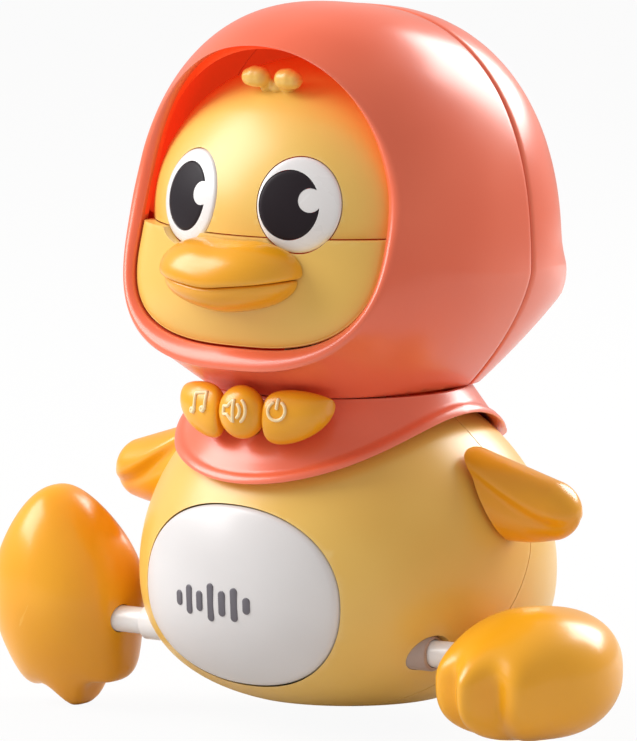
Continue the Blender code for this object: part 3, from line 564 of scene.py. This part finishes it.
# raised border first, then the collar, then back down inside
profile = [(0.0, 0.15), (-0.25, 0.7), (-0.1, 1.1), (0.35, 1.3), (0.95, 1.35), (1.6, 1.15), (2.1, 0.6),
           (2.5, 0.1), (3.2, 0.0)]
layers = [("low", up, out) for up, out in profile]
layers += [("share", i / 14, 0.0) for i in range(3, 15)]
layers += [("share", 1.0, -0.9), ("share", 1.0, -bib["thick"]), ("share", 0.6, -bib["thick"]),
           ("share", 0.25, -bib["thick"]), ("low", 0.6, -bib["thick"] * 0.98)]
for kind, up, out in layers:
    ring = []
    for i in range(bib["count"]):
        angle = 2 * math.pi * i / bib["count"]
        low = bib["front"] + (bib["shoulder"] - bib["front"]) * math.sin(angle) ** 2
        room = bib["top"] - low
        z = low + (min(up, room * 0.62) if kind == "low" else room * up)
        if kind == "share" and up < 1.0:
            z = max(z, low + min(3.3, room * 0.63) + 0.02 * up)
        r = bibRadius(angle, z) + out * (min(room / 8.0, 1.0) if kind == "low" and out > 0 else 1.0)
        ring.append((r * math.sin(angle), -r * math.cos(angle) + bodyLean(z), z))
    rings.append(ring)
bibPiece = skin("bib", rings, loop=True)
cutStemHoles(bibPiece)
finish(bibPiece, "bibCollar", "body", "coral", "bib", angle=45)

# hood

hood = {"seamY": 7.3, "seamGap": 0.3, "wall": 2.4, "bottom": 85.0, "arc": math.radians(60), "count": 200,
        "seam": dict(wide=54.8, middle=117.5, up=67.8, upPower=2.4, down=53.4, downPower=1.45),
        "rim": dict(wide=43.8, middle=131.0, up=47.5, upPower=2.05, down=37.6, downPower=2.67),
        "opening": dict(wide=39.9, middle=126.0, up=52.6, upPower=2.2, down=27.2, downPower=2.85),
        "rimY": -36.8, "crown": 7.0, "crownZ": 150.0, "bulge": 3.5, "lipBack": 3.5, "bead": 1.35,
        "chin": 14.8, "chinTop": 144.5, "chinSpan": 43.6, "chinLift": 1.8,
        # the inside's painted shade, red bounce and glow show only above these heights
        "paintedShadeFrom": 129.5, "paintedShadeRear": 150.5,
        "ridgeZ": 106.5, "backDepth": 49.5, "ridgeDepth": 57.5, "ridgeSlope": 1.3, "ridgeSpan": 17.0}


def egg(shape, count, inward=0.0):
    points = []
    for c, s in turn(count):
        exponent = shape["upPower"] if s > 0 else shape["downPower"]
        reach = shape["up"] if s > 0 else shape["down"]
        points.append(((shape["wide"] - inward) * power(c, 2 / exponent),
                       shape["middle"] + (reach - inward) * power(s, 2 / exponent)))
    return points


def rimY(z):
    chin = hood["chin"] * (max(hood["chinTop"] - z, 0.0) / hood["chinSpan"]) ** 1.5
    crown = hood["crown"] * (max(z - hood["crownZ"], 0.0) / 36) ** 2
    return hood["rimY"] - min(chin, 1.3 * hood["chin"]) - crown


def frontRing(angle, inward, shift=0.0):
    seam, rim = egg(hood["seam"], hood["count"], inward), egg(hood["rim"], hood["count"], inward)
    share = (1 - math.cos(angle)) / (1 - math.cos(hood["arc"]))
    reach = math.sin(angle) / math.sin(hood["arc"])
    ring = []
    for (xs, zs), (xr, zr) in zip(seam, rim):
        x = xs + (xr - xs) * share
        under = max((hood["seam"]["middle"] - zs) / hood["seam"]["down"], 0.0) ** 2
        rise = 1 - (1 - share) ** hood["chinLift"]
        z = zs + (zr - zs) * (share + (rise - share) * under)
        height = max(z - hood["seam"]["middle"], 0.0) / hood["seam"]["up"]
        z += hood["bulge"] * height ** 3 * math.sin(math.pi * angle / hood["arc"])
        back = hood["lipBack"] if inward > 1 else 0.0
        ring.append((x, hood["seamY"] + (rimY(zr) + back - hood["seamY"]) * reach + shift, z))
    return ring


def backDepth(z):
    if z < hood["ridgeZ"]:
        return hood["ridgeDepth"] - hood["ridgeSlope"] * (hood["ridgeZ"] - z)
    above = ease(hood["ridgeZ"], hood["ridgeZ"] + hood["ridgeSpan"], z)
    return hood["ridgeDepth"] + (hood["backDepth"] - hood["ridgeDepth"]) * above


def backRing(angle, inward):
    ring = []
    for xs, zs in egg(hood["seam"], hood["count"], inward):
        x = xs * math.cos(angle)
        z = hood["ridgeZ"] + (zs - hood["ridgeZ"]) * math.cos(angle)
        ring.append((x, hood["seamY"] + hood["seamGap"] + (backDepth(z) - inward) * math.sin(angle), z))
    return ring


print("drawing the hood")
# rounded edge at the seam, the shell, the bead of the rim, the lip and back along the inside
rings = [frontRing(0.0, 0.5), frontRing(0.006, 0.2, -0.1), frontRing(0.010, 0.0, -0.2)]
rings += [frontRing(hood["arc"] * i / 40, 0.0, -0.35 if i == 1 else 0.0) for i in range(1, 41)]
lip = egg(hood["opening"], hood["count"])
rimRing = rings[-1]
for t in (0.12, 0.25, 0.4, 0.55, 0.7, 0.83, 0.93, 1.0):
    ring = []
    for (x0, y0, z0), (x1, z1) in zip(rimRing, lip):
        bead = hood["bead"] * math.sin(math.pi * min(t * 0.92, 1.0)) ** 0.75
        ring.append((x0 + (x1 - x0) * t, y0 + (rimY(z1) + 0.6 - y0) * t - bead, z0 + (z1 - z0) * t))
    rings.append(ring)
rings.append([(x, rimY(z) + 1.6, z) for x, z in egg(hood["opening"], hood["count"], -0.15)])
rings.append([(x, rimY(z) + 3.6, z) for x, z in egg(hood["opening"], hood["count"], -0.3)])
rings += [frontRing(hood["arc"] * i / 20, hood["wall"]) for i in range(19, -1, -1)]
hoodFront = skin("hood front", rings, loop=True)
hoodFront.data.materials.append(looks["coral"])
hoodFront.data.materials.append(insideShadeAndGlow)
# inward faces behind the rim and high up take the inside's painted shade, red bounce and glow
inside = base + Vector((0, 0, 118 * mm))
for polygon in hoodFront.data.polygons:
    out = polygon.center - inside
    out.y = 0.0
    height = (polygon.center.z - base.z) / mm
    behind = polygon.center.y > base.y + (rimY(height) + 1.2) * mm
    if polygon.normal.dot(out.normalized()) < -0.15 and behind and height > hood["paintedShadeFrom"]:
        polygon.material_index = 1
underside = plate("below", 90, 40, hood["bottom"], -90, 90)
carve(hoodFront, underside, keep=True)
finish(hoodFront, "hoodFront", "head", "coral", "hood_front", angle=50)

rings = [backRing(math.radians(88.5) * (1 - i / 30) ** 0.9, 0.0) for i in range(30)]
rings += [backRing(0.035, 0.0), backRing(0.012, 0.0), backRing(0.005, 0.2), backRing(0.0, 0.5)]
rings += [backRing(math.radians(86) * i / 16, hood["wall"]) for i in range(17)]
hoodRear = skin("hood rear", rings)
hoodRear.data.materials.append(looks["coral"])
hoodRear.data.materials.append(insideShadeAndGlow)
# inward faces of the rear shell high up take the inside's painted shade, red bounce and glow
hub = place(0, hood["seamY"], hood["ridgeZ"])
for polygon in hoodRear.data.polygons:
    inner = polygon.normal.dot((polygon.center - hub).normalized()) < -0.15
    if inner and polygon.center.z > base.z + hood["paintedShadeRear"] * mm:
        polygon.material_index = 1
carve(hoodRear, underside)
finish(hoodRear, "hoodBack", "head", "coral", "hood_rear", angle=50)

# face

face = {"backY": -12.0, "depth": 41.0, "power": 1.1, "wall": 2.2, "count": 160,
        "seamZ": 129.3, "seamGap": 0.35,
        "ring": dict(wide=48.4, middle=131.0, up=42.0, upPower=2.0, down=41.0, downPower=2.3),
        "cheekMiddle": 118.0, "cheekFront": -55.0, "cheekBack": -21.0, "cheekInset": 0.4, "cheekPower": 1.6,
        "billGap": (0.5, 0.4)}


def faceRing(angle, inward):
    ring = []
    for xs, zs in egg(face["ring"], face["count"], inward):
        z = face["ring"]["middle"] + (zs - face["ring"]["middle"]) * math.cos(angle)
        y = face["backY"] - (face["depth"] - inward) * math.sin(angle) ** face["power"]
        ring.append((xs * math.cos(angle), y, z))
    return ring


def faceY(x, z, grow=0.0):
    # front of the forehead over a point
    shape = face["ring"]
    high = z > shape["middle"]
    exponent = shape["upPower"] if high else shape["downPower"]
    reach = (shape["up"] if high else shape["down"]) + grow
    near = (abs(x) / (shape["wide"] + grow)) ** exponent + (abs(z - shape["middle"]) / reach) ** exponent
    level = min(near, 1.0) ** (1 / exponent)
    return face["backY"] - (face["depth"] + grow) * math.sqrt(max(1 - level ** 2, 0.0)) ** face["power"]


def cheekRing(angle, inward, extra=0.0, back=0.0):
    swell = math.sin(angle) ** face["cheekPower"]
    ring = []
    for xs, zs in egg(hood["opening"], face["count"], face["cheekInset"] + inward + extra):
        y = (rimY(zs) + 0.7) * (1 - swell) + face["cheekFront"] * swell + inward + back
        z = face["cheekMiddle"] + (zs - face["cheekMiddle"]) * math.cos(angle)
        ring.append((xs * math.cos(angle), y, z))
    return ring


def cheekSolid(inward, steps, back=0.0):
    rings = [cheekRing(math.radians(88.5) * (1 - i / steps), inward, 0.5) for i in range(steps)]
    rings += [cheekRing(0.0, inward, 0.5), cheekRing(0.0, inward, 0.2, 0.2), cheekRing(0.0, inward, 0.0, 0.7)]
    rings.append([(x, face["cheekBack"] + back, z) for x, y, z in rings[-1]])
    return skin("cheeks", rings)


def faceSolid(inward, steps, back=0.0):
    rings = [faceRing(math.radians(88.5) * (1 - i / steps), inward) for i in range(steps + 1)]
    if back:
        rings.append([(x, y + back, z) for x, y, z in rings[-1]])
    return skin("face", rings)


eye = {"x": 18.3, "y": -49.8, "z": 138.0, "turn": math.radians(21), "half": (11.5, 12.6), "pupil": (8.3, 9.2),
       "shift": {"left": -2.6, "right": -0.4}, "bite": {"left": 5.8, "right": 6.8}, "biteRadius": 3.3,
       "biteUp": 1.4, "gap": 0.12, "socketGap": 0.3}


def eyeFrame(side):
    out = Vector((side * math.sin(eye["turn"]), -math.cos(eye["turn"]), 0.06)).normalized()
    across = Vector((0, 0, 1)).cross(out).normalized()
    where = Matrix((across, out.cross(across), out)).transposed().to_4x4()
    where.translation = Vector((side * eye["x"], eye["y"], eye["z"]))
    return where


def eyeTool(side, middle, half, reach=9.0, count=96):
    where = eyeFrame(side)
    return skin("eye tool", [[tuple(where @ Vector((x, z, d))) for x, z in oval(middle, half, count)]
                             for d in (-reach, reach)])


def onFace(side, u, v, grow):
    # the spot of the face's surface that an eye's own u, v looks out of
    where = eyeFrame(side)
    near, far = -12.0, 9.0
    for halving in range(30):
        d = (near + far) / 2
        p = where @ Vector((u, v, d))
        if p.y < faceY(p.x, p.z, grow):
            far = d
        else:
            near = d
    return tuple(where @ Vector((u, v, near)))


print("forming the face")
forehead = faceSolid(0.0, 44)
carve(forehead, faceSolid(face["wall"], 20, back=6.0))
carve(forehead, plate("above seam", 90, face["seamZ"], 200, -90, 0), "INTERSECT")
cheeks = cheekSolid(0.0, 40)
carve(cheeks, cheekSolid(face["wall"], 16, back=6.0))
carve(cheeks, plate("below seam", 90, 60, face["seamZ"] - face["seamGap"], -90, 0), "INTERSECT")
for side in (-1, 1):
    socket = eyeTool(side, (0, 0), (eye["half"][0] + eye["socketGap"], eye["half"][1] + eye["socketGap"]))
    carve(forehead, socket, keep=True)
    carve(cheeks, socket)
finish(forehead, "forehead", "head", "yellow", "face_upper", angle=40)
finish(cheeks, "cheeks", "head", "yellow", "face_lower", angle=40)


def eyeDisc(name, side, middle, half, top, bottom):
    # a thin domed lens that follows the face, its rim rounded
    levels = [(0.01, top)] + [(i / 12 * 0.94, top) for i in range(1, 13)]
    levels += [(0.975, top - 0.12), (1.0, top - 0.4)]
    levels += [(t, bottom) for t in (1.0, 0.7, 0.4, 0.01)]
    rings = []
    for t, grow in levels:
        rings.append([onFace(side, middle[0] + half[0] * t * c, middle[1] + half[1] * t * s, grow)
                      for c, s in turn(96)])
    return skin(name, rings)


for side, word in ((-1, "right"), (1, "left")):
    shift = eye["shift"][word]
    bite = (shift + eye["bite"][word], eye["biteUp"])
    white = eyeDisc("white", side, (0, 0), eye["half"], 0.4, -1.8)
    hole = eyeTool(side, (shift, 0), (eye["pupil"][0] + eye["gap"], eye["pupil"][1] + eye["gap"]))
    carve(hole, eyeTool(side, bite, (eye["biteRadius"] - eye["gap"],) * 2, 12.0, 64))
    carve(white, hole)
    finish(white, "eyeWhite." + word, "head", "white", "eye_white_" + word, angle=40)
    pupil = eyeDisc("pupil", side, (shift, 0), eye["pupil"], 0.5, -1.5)
    carve(pupil, eyeTool(side, bite, (eye["biteRadius"],) * 2, 12.0, 64))
    finish(pupil, "pupil." + word, "head", "gloss_black", "eye_pupil_" + word, angle=40)

# bill and tuft

bill = {"y": -52.0, "upper": (21.5, 16.5), "lower": (20.4, 15.2), "mouth": 117.2, "lip": 1.1, "tall": 11.4,
        "lowLip": 0.9, "lowTall": 7.7, "count": 96}


def mouthLine(x):
    # the corners of the mouth turn up
    return bill["mouth"] + 1.8 * (abs(x) / bill["upper"][0]) ** 2.2 - 0.6 * math.exp(-(x / 6) ** 2)


def fitToFace(piece):
    # the back of a bill half is hollowed to the face
    carve(piece, faceSolid(-face["billGap"][0], 20))
    carve(piece, cheekSolid(-face["billGap"][1], 20))


print("modelling the bill")
rings = []
wide, deep = bill["upper"]
sections = [(0.50, 0.0), (0.80, 0.0), (0.96, 0.02), (0.99, 0.35), (1.0, bill["lip"])]
for a in (8, 16, 24, 32, 40, 48, 56, 63, 70, 76, 81, 85, 88):
    rise = (bill["tall"] - bill["lip"]) * math.sin(math.radians(a)) ** 1.05
    sections.append((math.cos(math.radians(a)) ** 0.62, bill["lip"] + rise))
for size, up in sections:
    ring = []
    for c, s in turn(bill["count"]):
        x, y = wide * size * power(c, 0.92), deep * size * power(s, 0.92)
        fall = 1.6 * (abs(x) / wide) ** 2 * (up / bill["tall"])
        ring.append((x, bill["y"] + y, mouthLine(x) + 0.1 + up - fall))
    rings.append(ring)
upperBill = skin("upper bill", rings)
fitToFace(upperBill)
finish(upperBill, "upperBill", "head", "orange", "beak_upper", angle=60)

rings = []
wide, deep = bill["lower"]
sections = [(0.6, 0.0), (0.95, 0.0), (0.99, -0.3), (1.0, -bill["lowLip"])]
for a in (10, 20, 30, 40, 50, 60, 70, 78, 85):
    fall = (bill["lowTall"] - bill["lowLip"]) * math.sin(math.radians(a))
    sections.append((math.cos(math.radians(a)) ** 0.8, -bill["lowLip"] - fall))
for size, up in sections:
    ring = []
    for c, s in turn(bill["count"]):
        x, y = wide * size * power(c, 0.95), deep * size * power(s, 0.95)
        ring.append((x, bill["y"] + y, mouthLine(x) - 0.1 + up))
    rings.append(ring)
lowerBill = skin("lower bill", rings)
fitToFace(lowerBill)
finish(lowerBill, "lowerBill", "head", "orange", "beak_lower", angle=60)

# two curls side by side, melted together from balls of (x, y, z, radius)
tuft = {"y": -35.4, "z": 169.4, "voxel": 0.35, "relax": 12,
        "balls": [(-7.0, 0.0, -0.1, 2.5), (-5.5, 0.0, 0.1, 2.9), (-3.9, 0.1, 0.0, 2.8), (7.0, 0.0, -0.1, 2.5),
                  (5.5, 0.0, 0.1, 2.9), (3.9, 0.1, 0.0, 2.8), (-3.4, 3.0, -2.4, 2.3), (3.4, 3.0, -2.4, 2.3),
                  (0.0, 2.8, -2.4, 2.4)]}
deselect()
balls = []
for x, y, z, r in tuft["balls"]:
    spot = place(x, tuft["y"] + y, tuft["z"] + z)
    bpy.ops.mesh.primitive_ico_sphere_add(subdivisions=4, radius=r * mm, location=spot)
    balls.append(bpy.context.active_object)
curls = joined("curls", balls)
settle(curls)
choose(curls)
mod = curls.modifiers.new("melt", "REMESH")
mod.mode = "VOXEL"
mod.voxel_size = tuft["voxel"] * mm
bpy.ops.object.modifier_apply(modifier=mod.name)
mod = curls.modifiers.new("relax", "SMOOTH")
mod.factor = 0.5
mod.iterations = tuft["relax"]
bpy.ops.object.modifier_apply(modifier=mod.name)
finish(curls, "hairTuft", "head", "yellow", "hair_tuft", angle=180)

# bow-tie buttons

button = {"z": 80.0, "knotY": -49.2, "knotZ": 81.4, "knot": (6.9, 4.8, 7.2),
          "inner": 7.3, "length": 16.2, "tall": 8.6, "deep": 4.2, "lobeY": -48.6, "sweep": 7.2}


def lobeSection(share):
    swell = math.sin(math.pi * (0.06 + 0.88 * share)) ** 0.55
    tall = button["tall"] * (1 - 0.54 * share ** 1.5) * swell
    y = button["lobeY"] + button["sweep"] * share ** 1.5
    return tall, button["deep"] * swell, y, button["z"] + 0.2 + 3.6 * share ** 2


def lobeX(side, share):
    return side * (button["inner"] + button["length"] * (1 - math.cos(math.pi * share)) / 2)


def lobeFront(x, z):
    # front surface of a lobe over a point
    part = min(max((abs(x) - button["inner"]) / button["length"], 0.0), 1.0)
    share = math.acos(1 - 2 * part) / math.pi
    tall, deep, y, middle = lobeSection(share)
    return y - deep * math.sqrt(max(1 - ((z - middle) / tall) ** 2, 0.05))


def knotFront(x, z):
    wide, deep, tall = button["knot"]
    level = (x / wide) ** 2 + ((z - button["knotZ"]) / tall) ** 2
    return button["knotY"] - deep * math.sqrt(max(1 - level, 0.05))


def addStem(obj, x, start):
    carve(obj, rod("stem", (x, start, stem["z"]), (0, 1, 0),
                   [(0, stem["radius"]), (stem["end"] - start, stem["radius"])], 32), "UNION")


# raised icons: a power sign, a loudspeaker and a note, sunk a little into the surface
icon = {"line": 0.46, "sunk": 0.12, "power": (12.2, 82.8), "volume": (0.4, 82.3), "mode": (-12.9, 83.0)}


def arcPath(front, middle, radius, first, last, count=28):
    path = []
    for i in range(count + 1):
        a = math.radians(first + (last - first) * i / count)
        x, z = middle[0] + radius * math.cos(a), middle[1] + radius * math.sin(a)
        path.append((x, front(x, z) - icon["sunk"], z))
    return path


def linePath(front, points, count=10):
    path = []
    for (x0, z0), (x1, z1) in zip(points, points[1:]):
        for i in range(count):
            x, z = x0 + (x1 - x0) * i / count, z0 + (z1 - z0) * i / count
            path.append((x, front(x, z) - icon["sunk"], z))
    x, z = points[-1]
    path.append((x, front(x, z) - icon["sunk"], z))
    return path


print("moulding the buttons")
for side, word in ((-1, "mode"), (1, "power")):
    rings = []
    for i in range(41):
        tall, deep, y, z = lobeSection(i / 40)
        rings.append([(lobeX(side, i / 40), y + deep * c, z + tall * s) for c, s in turn(48)])
    lobe = skin("lobe", rings)
    addStem(lobe, side * stem["xs"][2], -45.5)
    finish(lobe, word + "Button", word + "_button", "orange", "button_" + word, angle=50)
rings = []
for i in range(33):
    a = math.radians(-88 + 176 * i / 32)
    wide, deep, tall = button["knot"]
    rings.append([(wide * math.cos(a) * c, button["knotY"] + deep * math.cos(a) * s,
                   button["knotZ"] + tall * math.sin(a)) for c, s in turn(56)])
knot = skin("knot", rings)
addStem(knot, 0, -47.5)
finish(knot, "volumeButton", "volume_button", "orange", "button_volume", angle=50)

x, z = icon["power"]
powerIcon = [tube("ring", arcPath(lobeFront, (x, z), 2.5, 122, 418), icon["line"]),
             tube("tick", linePath(lobeFront, [(x, z + 3.0), (x, z + 0.7)]), icon["line"])]
finish(joined("powerIcon", powerIcon), "powerIcon", "power_button", "white", angle=60, material=iconCream)
x, z = icon["volume"]
horn = [(x - 3.4, z - 1.1), (x - 2.0, z - 1.1), (x - 0.2, z - 3.0), (x - 0.2, z + 3.0), (x - 2.0, z + 1.1),
        (x - 3.4, z + 1.1), (x - 3.4, z - 1.1)]
volumeIcon = [tube("horn", linePath(knotFront, horn), icon["line"]),
              tube("wave", arcPath(knotFront, (x - 0.4, z), 2.3, -48, 48), icon["line"]),
              tube("wave", arcPath(knotFront, (x - 0.4, z), 3.8, -46, 46), icon["line"])]
finish(joined("volumeIcon", volumeIcon), "volumeIcon", "volume_button", "white", angle=60, material=iconCream)
x, z = icon["mode"]
note = [(x - 1.9, z - 2.0), (x - 1.9, z + 2.4), (x + 2.0, z + 3.0), (x + 2.0, z - 1.3)]
modeIcon = [tube("note", linePath(lobeFront, note), icon["line"])]
for dx, dz in ((-2.7, -2.2), (1.2, -1.5)):
    modeIcon.append(tube("dot", arcPath(lobeFront, (x + dx, z + dz), 0.5, 0, 350, 12), icon["line"] * 1.15))
finish(joined("modeIcon", modeIcon), "modeIcon", "mode_button", "white", angle=60, material=iconCream)

# wings

wing = {"from": 38.0, "tip": 75.2, "blunt": 69.0, "root": 57.6, "span": 38.0, "top": 72.5, "low": 45.8,
        "thick": 11.5, "y": -5.5, "tilt": math.radians(25.4), "centre": (0.0, -0.5, 34.0), "pin": 2.0,
        "steps": 46, "count": 72}


def wingRings(side):
    rings = []
    for i in range(wing["steps"] + 1):
        share = min(math.sin(math.pi / 2 * (i / wing["steps"]) ** 0.85), 0.9975)
        x = wing["from"] + (wing["tip"] - wing["from"]) * share
        end = math.sqrt(max(1 - max((x - wing["blunt"]) / (wing["tip"] - wing["blunt"]), 0.0) ** 2, 0.004))
        part = (x - wing["from"]) / wing["span"]
        top, low = wing["top"] - 12 * part, wing["low"] + 2 * ease(60, 76, x)
        middle, tall = (top + low) / 2, (top - low) / 2 * end
        thick = (wing["thick"] - 6.3 * part) * end
        valley = 0.62 - 1.2 * min(max((x - 45) / 30, 0.0), 1.0)
        ring = []
        for c, s in turn(wing["count"]):
            # a full roll along the top, a soft valley, then a flatter sheet below
            roll = 0.90 + 0.22 * ease(valley - 0.1, valley + 0.35, s)
            roll -= 0.07 * math.exp(-((s - valley) / 0.2) ** 2)
            ring.append((side * x, wing["y"] + 5 * part + thick * c * roll, middle + tall * power(s, 0.9)))
        rings.append(ring)
    return rings


print("moulding the wings")
for side, word in ((-1, "right"), (1, "left")):
    piece = skin("wing", wingRings(side))
    room = []
    for i in range(41):
        a = math.radians(-89 + 178 * i / 40)
        room.append([(wing["root"] * math.cos(a) * c, wing["centre"][1] + wing["root"] * math.cos(a) * s,
                      wing["centre"][2] + wing["root"] * math.sin(a)) for c, s in turn(96)])
    carve(piece, skin("room", room))
    out = (side * math.cos(wing["tilt"]), 0.0, math.sin(wing["tilt"]))
    carve(piece, rod("pin hole", wing["centre"], out, [(50, wing["pin"]), (66.3, wing["pin"])], 24))
    finish(piece, "wing." + word, word + "_wing", "orange", "wing_" + word, angle=50)

# axle and feet

print("moulding the feet")
foot = {"x": 75.6, "half": (21.0, 28.9, 17.3), "back": 4.5, "drop": 3.0, "turn": math.radians(6),
        "toes": 0.10, "toePitch": 0.66, "spread": 0.10, "taper": 0.27, "slope": 0.34, "heel": 0.40,
        "sole": 3.2, "instep": 2.2, "rows": 56, "count": 168}


def footRings(side):
    halfX, halfY, halfZ = foot["half"]
    rings = []
    for i in range(foot["rows"] + 1):
        height = math.sin(math.radians(-88.5 + 177 * i / foot["rows"]))
        exponent = foot["sole"] if height < 0 else foot["instep"]
        flat = max(1 - abs(height) ** exponent, 0.0006) ** (1 / foot["instep"])
        ring = []
        for c, s in turn(foot["count"]):
            forward, back = max(-s, 0.0), max(s, 0.0)
            ridge = math.cos(2 * math.pi * c / foot["toePitch"])
            fade = 1 - ease(-0.1, 0.85, height)
            grow = 1 + foot["toes"] * forward ** 1.5 * (ridge - 0.40) * fade + 0.04 * back ** 2
            wide = 1 + foot["spread"] * forward ** 2 - foot["taper"] * back ** 2
            lift = -foot["slope"] * halfZ * (forward * flat) ** 1.7 * max(height, 0.0)
            lift -= foot["heel"] * halfZ * (back * flat) ** 2 * min(height, 0.0)
            x = halfX * flat * grow * wide * c
            y = halfY * flat * grow * s + foot["back"]
            z = halfZ * height + lift - foot["drop"]
            ca, sa = math.cos(-side * foot["turn"]), math.sin(-side * foot["turn"])
            x, y = x * ca - y * sa, x * sa + y * ca
            if side < 0:
                # the right foot is a quarter turn ahead
                y, z = -z, y
            ring.append((side * foot["x"] + x, axle["y"] + y, axle["z"] + z))
        rings.append(ring)
    return rings


for side, word in ((-1, "right"), (1, "left")):
    piece = skin("foot", footRings(side))
    carve(piece, rod("socket", (0, axle["y"], axle["z"]), (side, 0, 0),
                     [(40, axle["radius"] + axle["play"]),
                      (axle["half"] + axle["play"], axle["radius"] + axle["play"])], 40))
    finish(piece, "foot." + word, "legs", "orange", "foot_" + word, angle=60)
    bush, end = axle["bush"], axle["bushTo"]
    piece = rod("bush", (0, axle["y"], axle["z"]), (side, 0, 0),
                [(axle["bushFrom"], bush), (end - 0.5, bush), (end - 0.2, bush - 0.15), (end, bush - 0.5)],
                48, axle["radius"] + 0.2)
    # the near bush takes the painted shade and reflection; the far bush stays white
    finish(piece, "axleBush." + word, "body", "white", "axle_bush_" + word, angle=40,
           material=nearBushShade if side > 0 else None)
length, radius, edge = axle["half"], axle["radius"], axle["chamfer"]
shaft = rod("shaft", (-length, axle["y"], axle["z"]), (1, 0, 0),
            [(0, radius - edge), (edge, radius),
             (2 * length - edge, radius), (2 * length, radius - edge)], 56)
finish(shaft, "legAxle", "legs", "white", "leg_axle", angle=40)

# floor, light and camera

stage = {"tilt": math.radians(8), "turn": math.radians(35), "distance": 3240.0, "lens": 582.996,
         "aside": 7.992, "above": 85.995, "floor": 16.0, "floorWhite": 0.94, "shade": 0.52, "paper": 1.05,
         # each lamp's power, width and place
         "lamps": {"leftBox": (14.0, 0.8, (-0.80, -0.50, 0.74)), "backBox": (13.0, 0.65, (0.24, 0.93, 0.68))}}
print("setting the stage")
deselect()
bpy.ops.mesh.primitive_plane_add(size=stage["floor"], location=(0, 0, lowCad.z - 0.0002))
floor = bpy.context.active_object
floor.name = "floor"
# the floor is plain white paper to the camera and a softer grey to the piece
floorMaker = Maker("paleFloor")
floorMaker.surface(Base_Color=(0.62, 0.61, 0.60), Roughness=0.9, Specular_IOR_Level=0.1)
seen = floorMaker.add("ShaderNodeLightPath", output="Is Camera Ray")
paper = floorMaker.add("ShaderNodeEmission", {}, {"Color": (1.0, 1.0, 1.0), "Strength": 1.0})
lit = Knob(floorMaker, floorMaker.shader.outputs[0])
both = floorMaker.add("ShaderNodeMixShader", {}, {0: seen * stage["floorWhite"], 1: lit, 2: paper})
floorMaker.tree.links.new(both.socket, floorMaker.tree.nodes["Material Output"].inputs["Surface"])
floor.data.materials.append(floorMaker.material)

world = bpy.data.worlds.new("studio")
bpy.context.scene.world = world
world.use_nodes = True
sky = world.node_tree.nodes["Background"]
sky.inputs["Color"].default_value = (1.0, 0.98, 0.96, 1.0)
ray = world.node_tree.nodes.new("ShaderNodeLightPath")
level = world.node_tree.nodes.new("ShaderNodeMapRange")
level.inputs["To Min"].default_value = stage["shade"]
level.inputs["To Max"].default_value = stage["paper"]
world.node_tree.links.new(ray.outputs["Is Camera Ray"], level.inputs["Value"])
world.node_tree.links.new(level.outputs["Result"], sky.inputs["Strength"])


def softLight(name, energy, size, location, aim):
    data = bpy.data.lights.new(name, "AREA")
    data.energy = energy
    data.shape = "RECTANGLE"
    data.size, data.size_y = size, size
    lamp = bpy.data.objects.new(name, data)
    bpy.context.collection.objects.link(lamp)
    lamp.location = location
    lamp.rotation_euler = (Vector(aim) - Vector(location)).to_track_quat("-Z", "Y").to_euler()


for name, (energy, size, location) in stage["lamps"].items():
    softLight(name, energy, size, location, (0.0, 0.0, 0.1))
bpy.context.scene.view_settings.view_transform = "Standard"

turned, tilt = stage["turn"], stage["tilt"]
away = Vector((math.sin(turned) * math.cos(tilt), -math.cos(turned) * math.cos(tilt), math.sin(tilt)))
right = Vector((math.cos(turned), math.sin(turned), 0.0))
aim = base + (away.cross(right) * stage["above"] - right * stage["aside"]) * mm
data = bpy.data.cameras.new("camera")
data.sensor_width = 36.0
data.lens = stage["lens"]
data.clip_end = 50.0
camera = bpy.data.objects.new("camera", data)
bpy.context.collection.objects.link(camera)
camera.location = aim + away * stage["distance"] * mm
camera.rotation_euler = (-away).to_track_quat("-Z", "Y").to_euler()
bpy.context.scene.camera = camera

print("done")
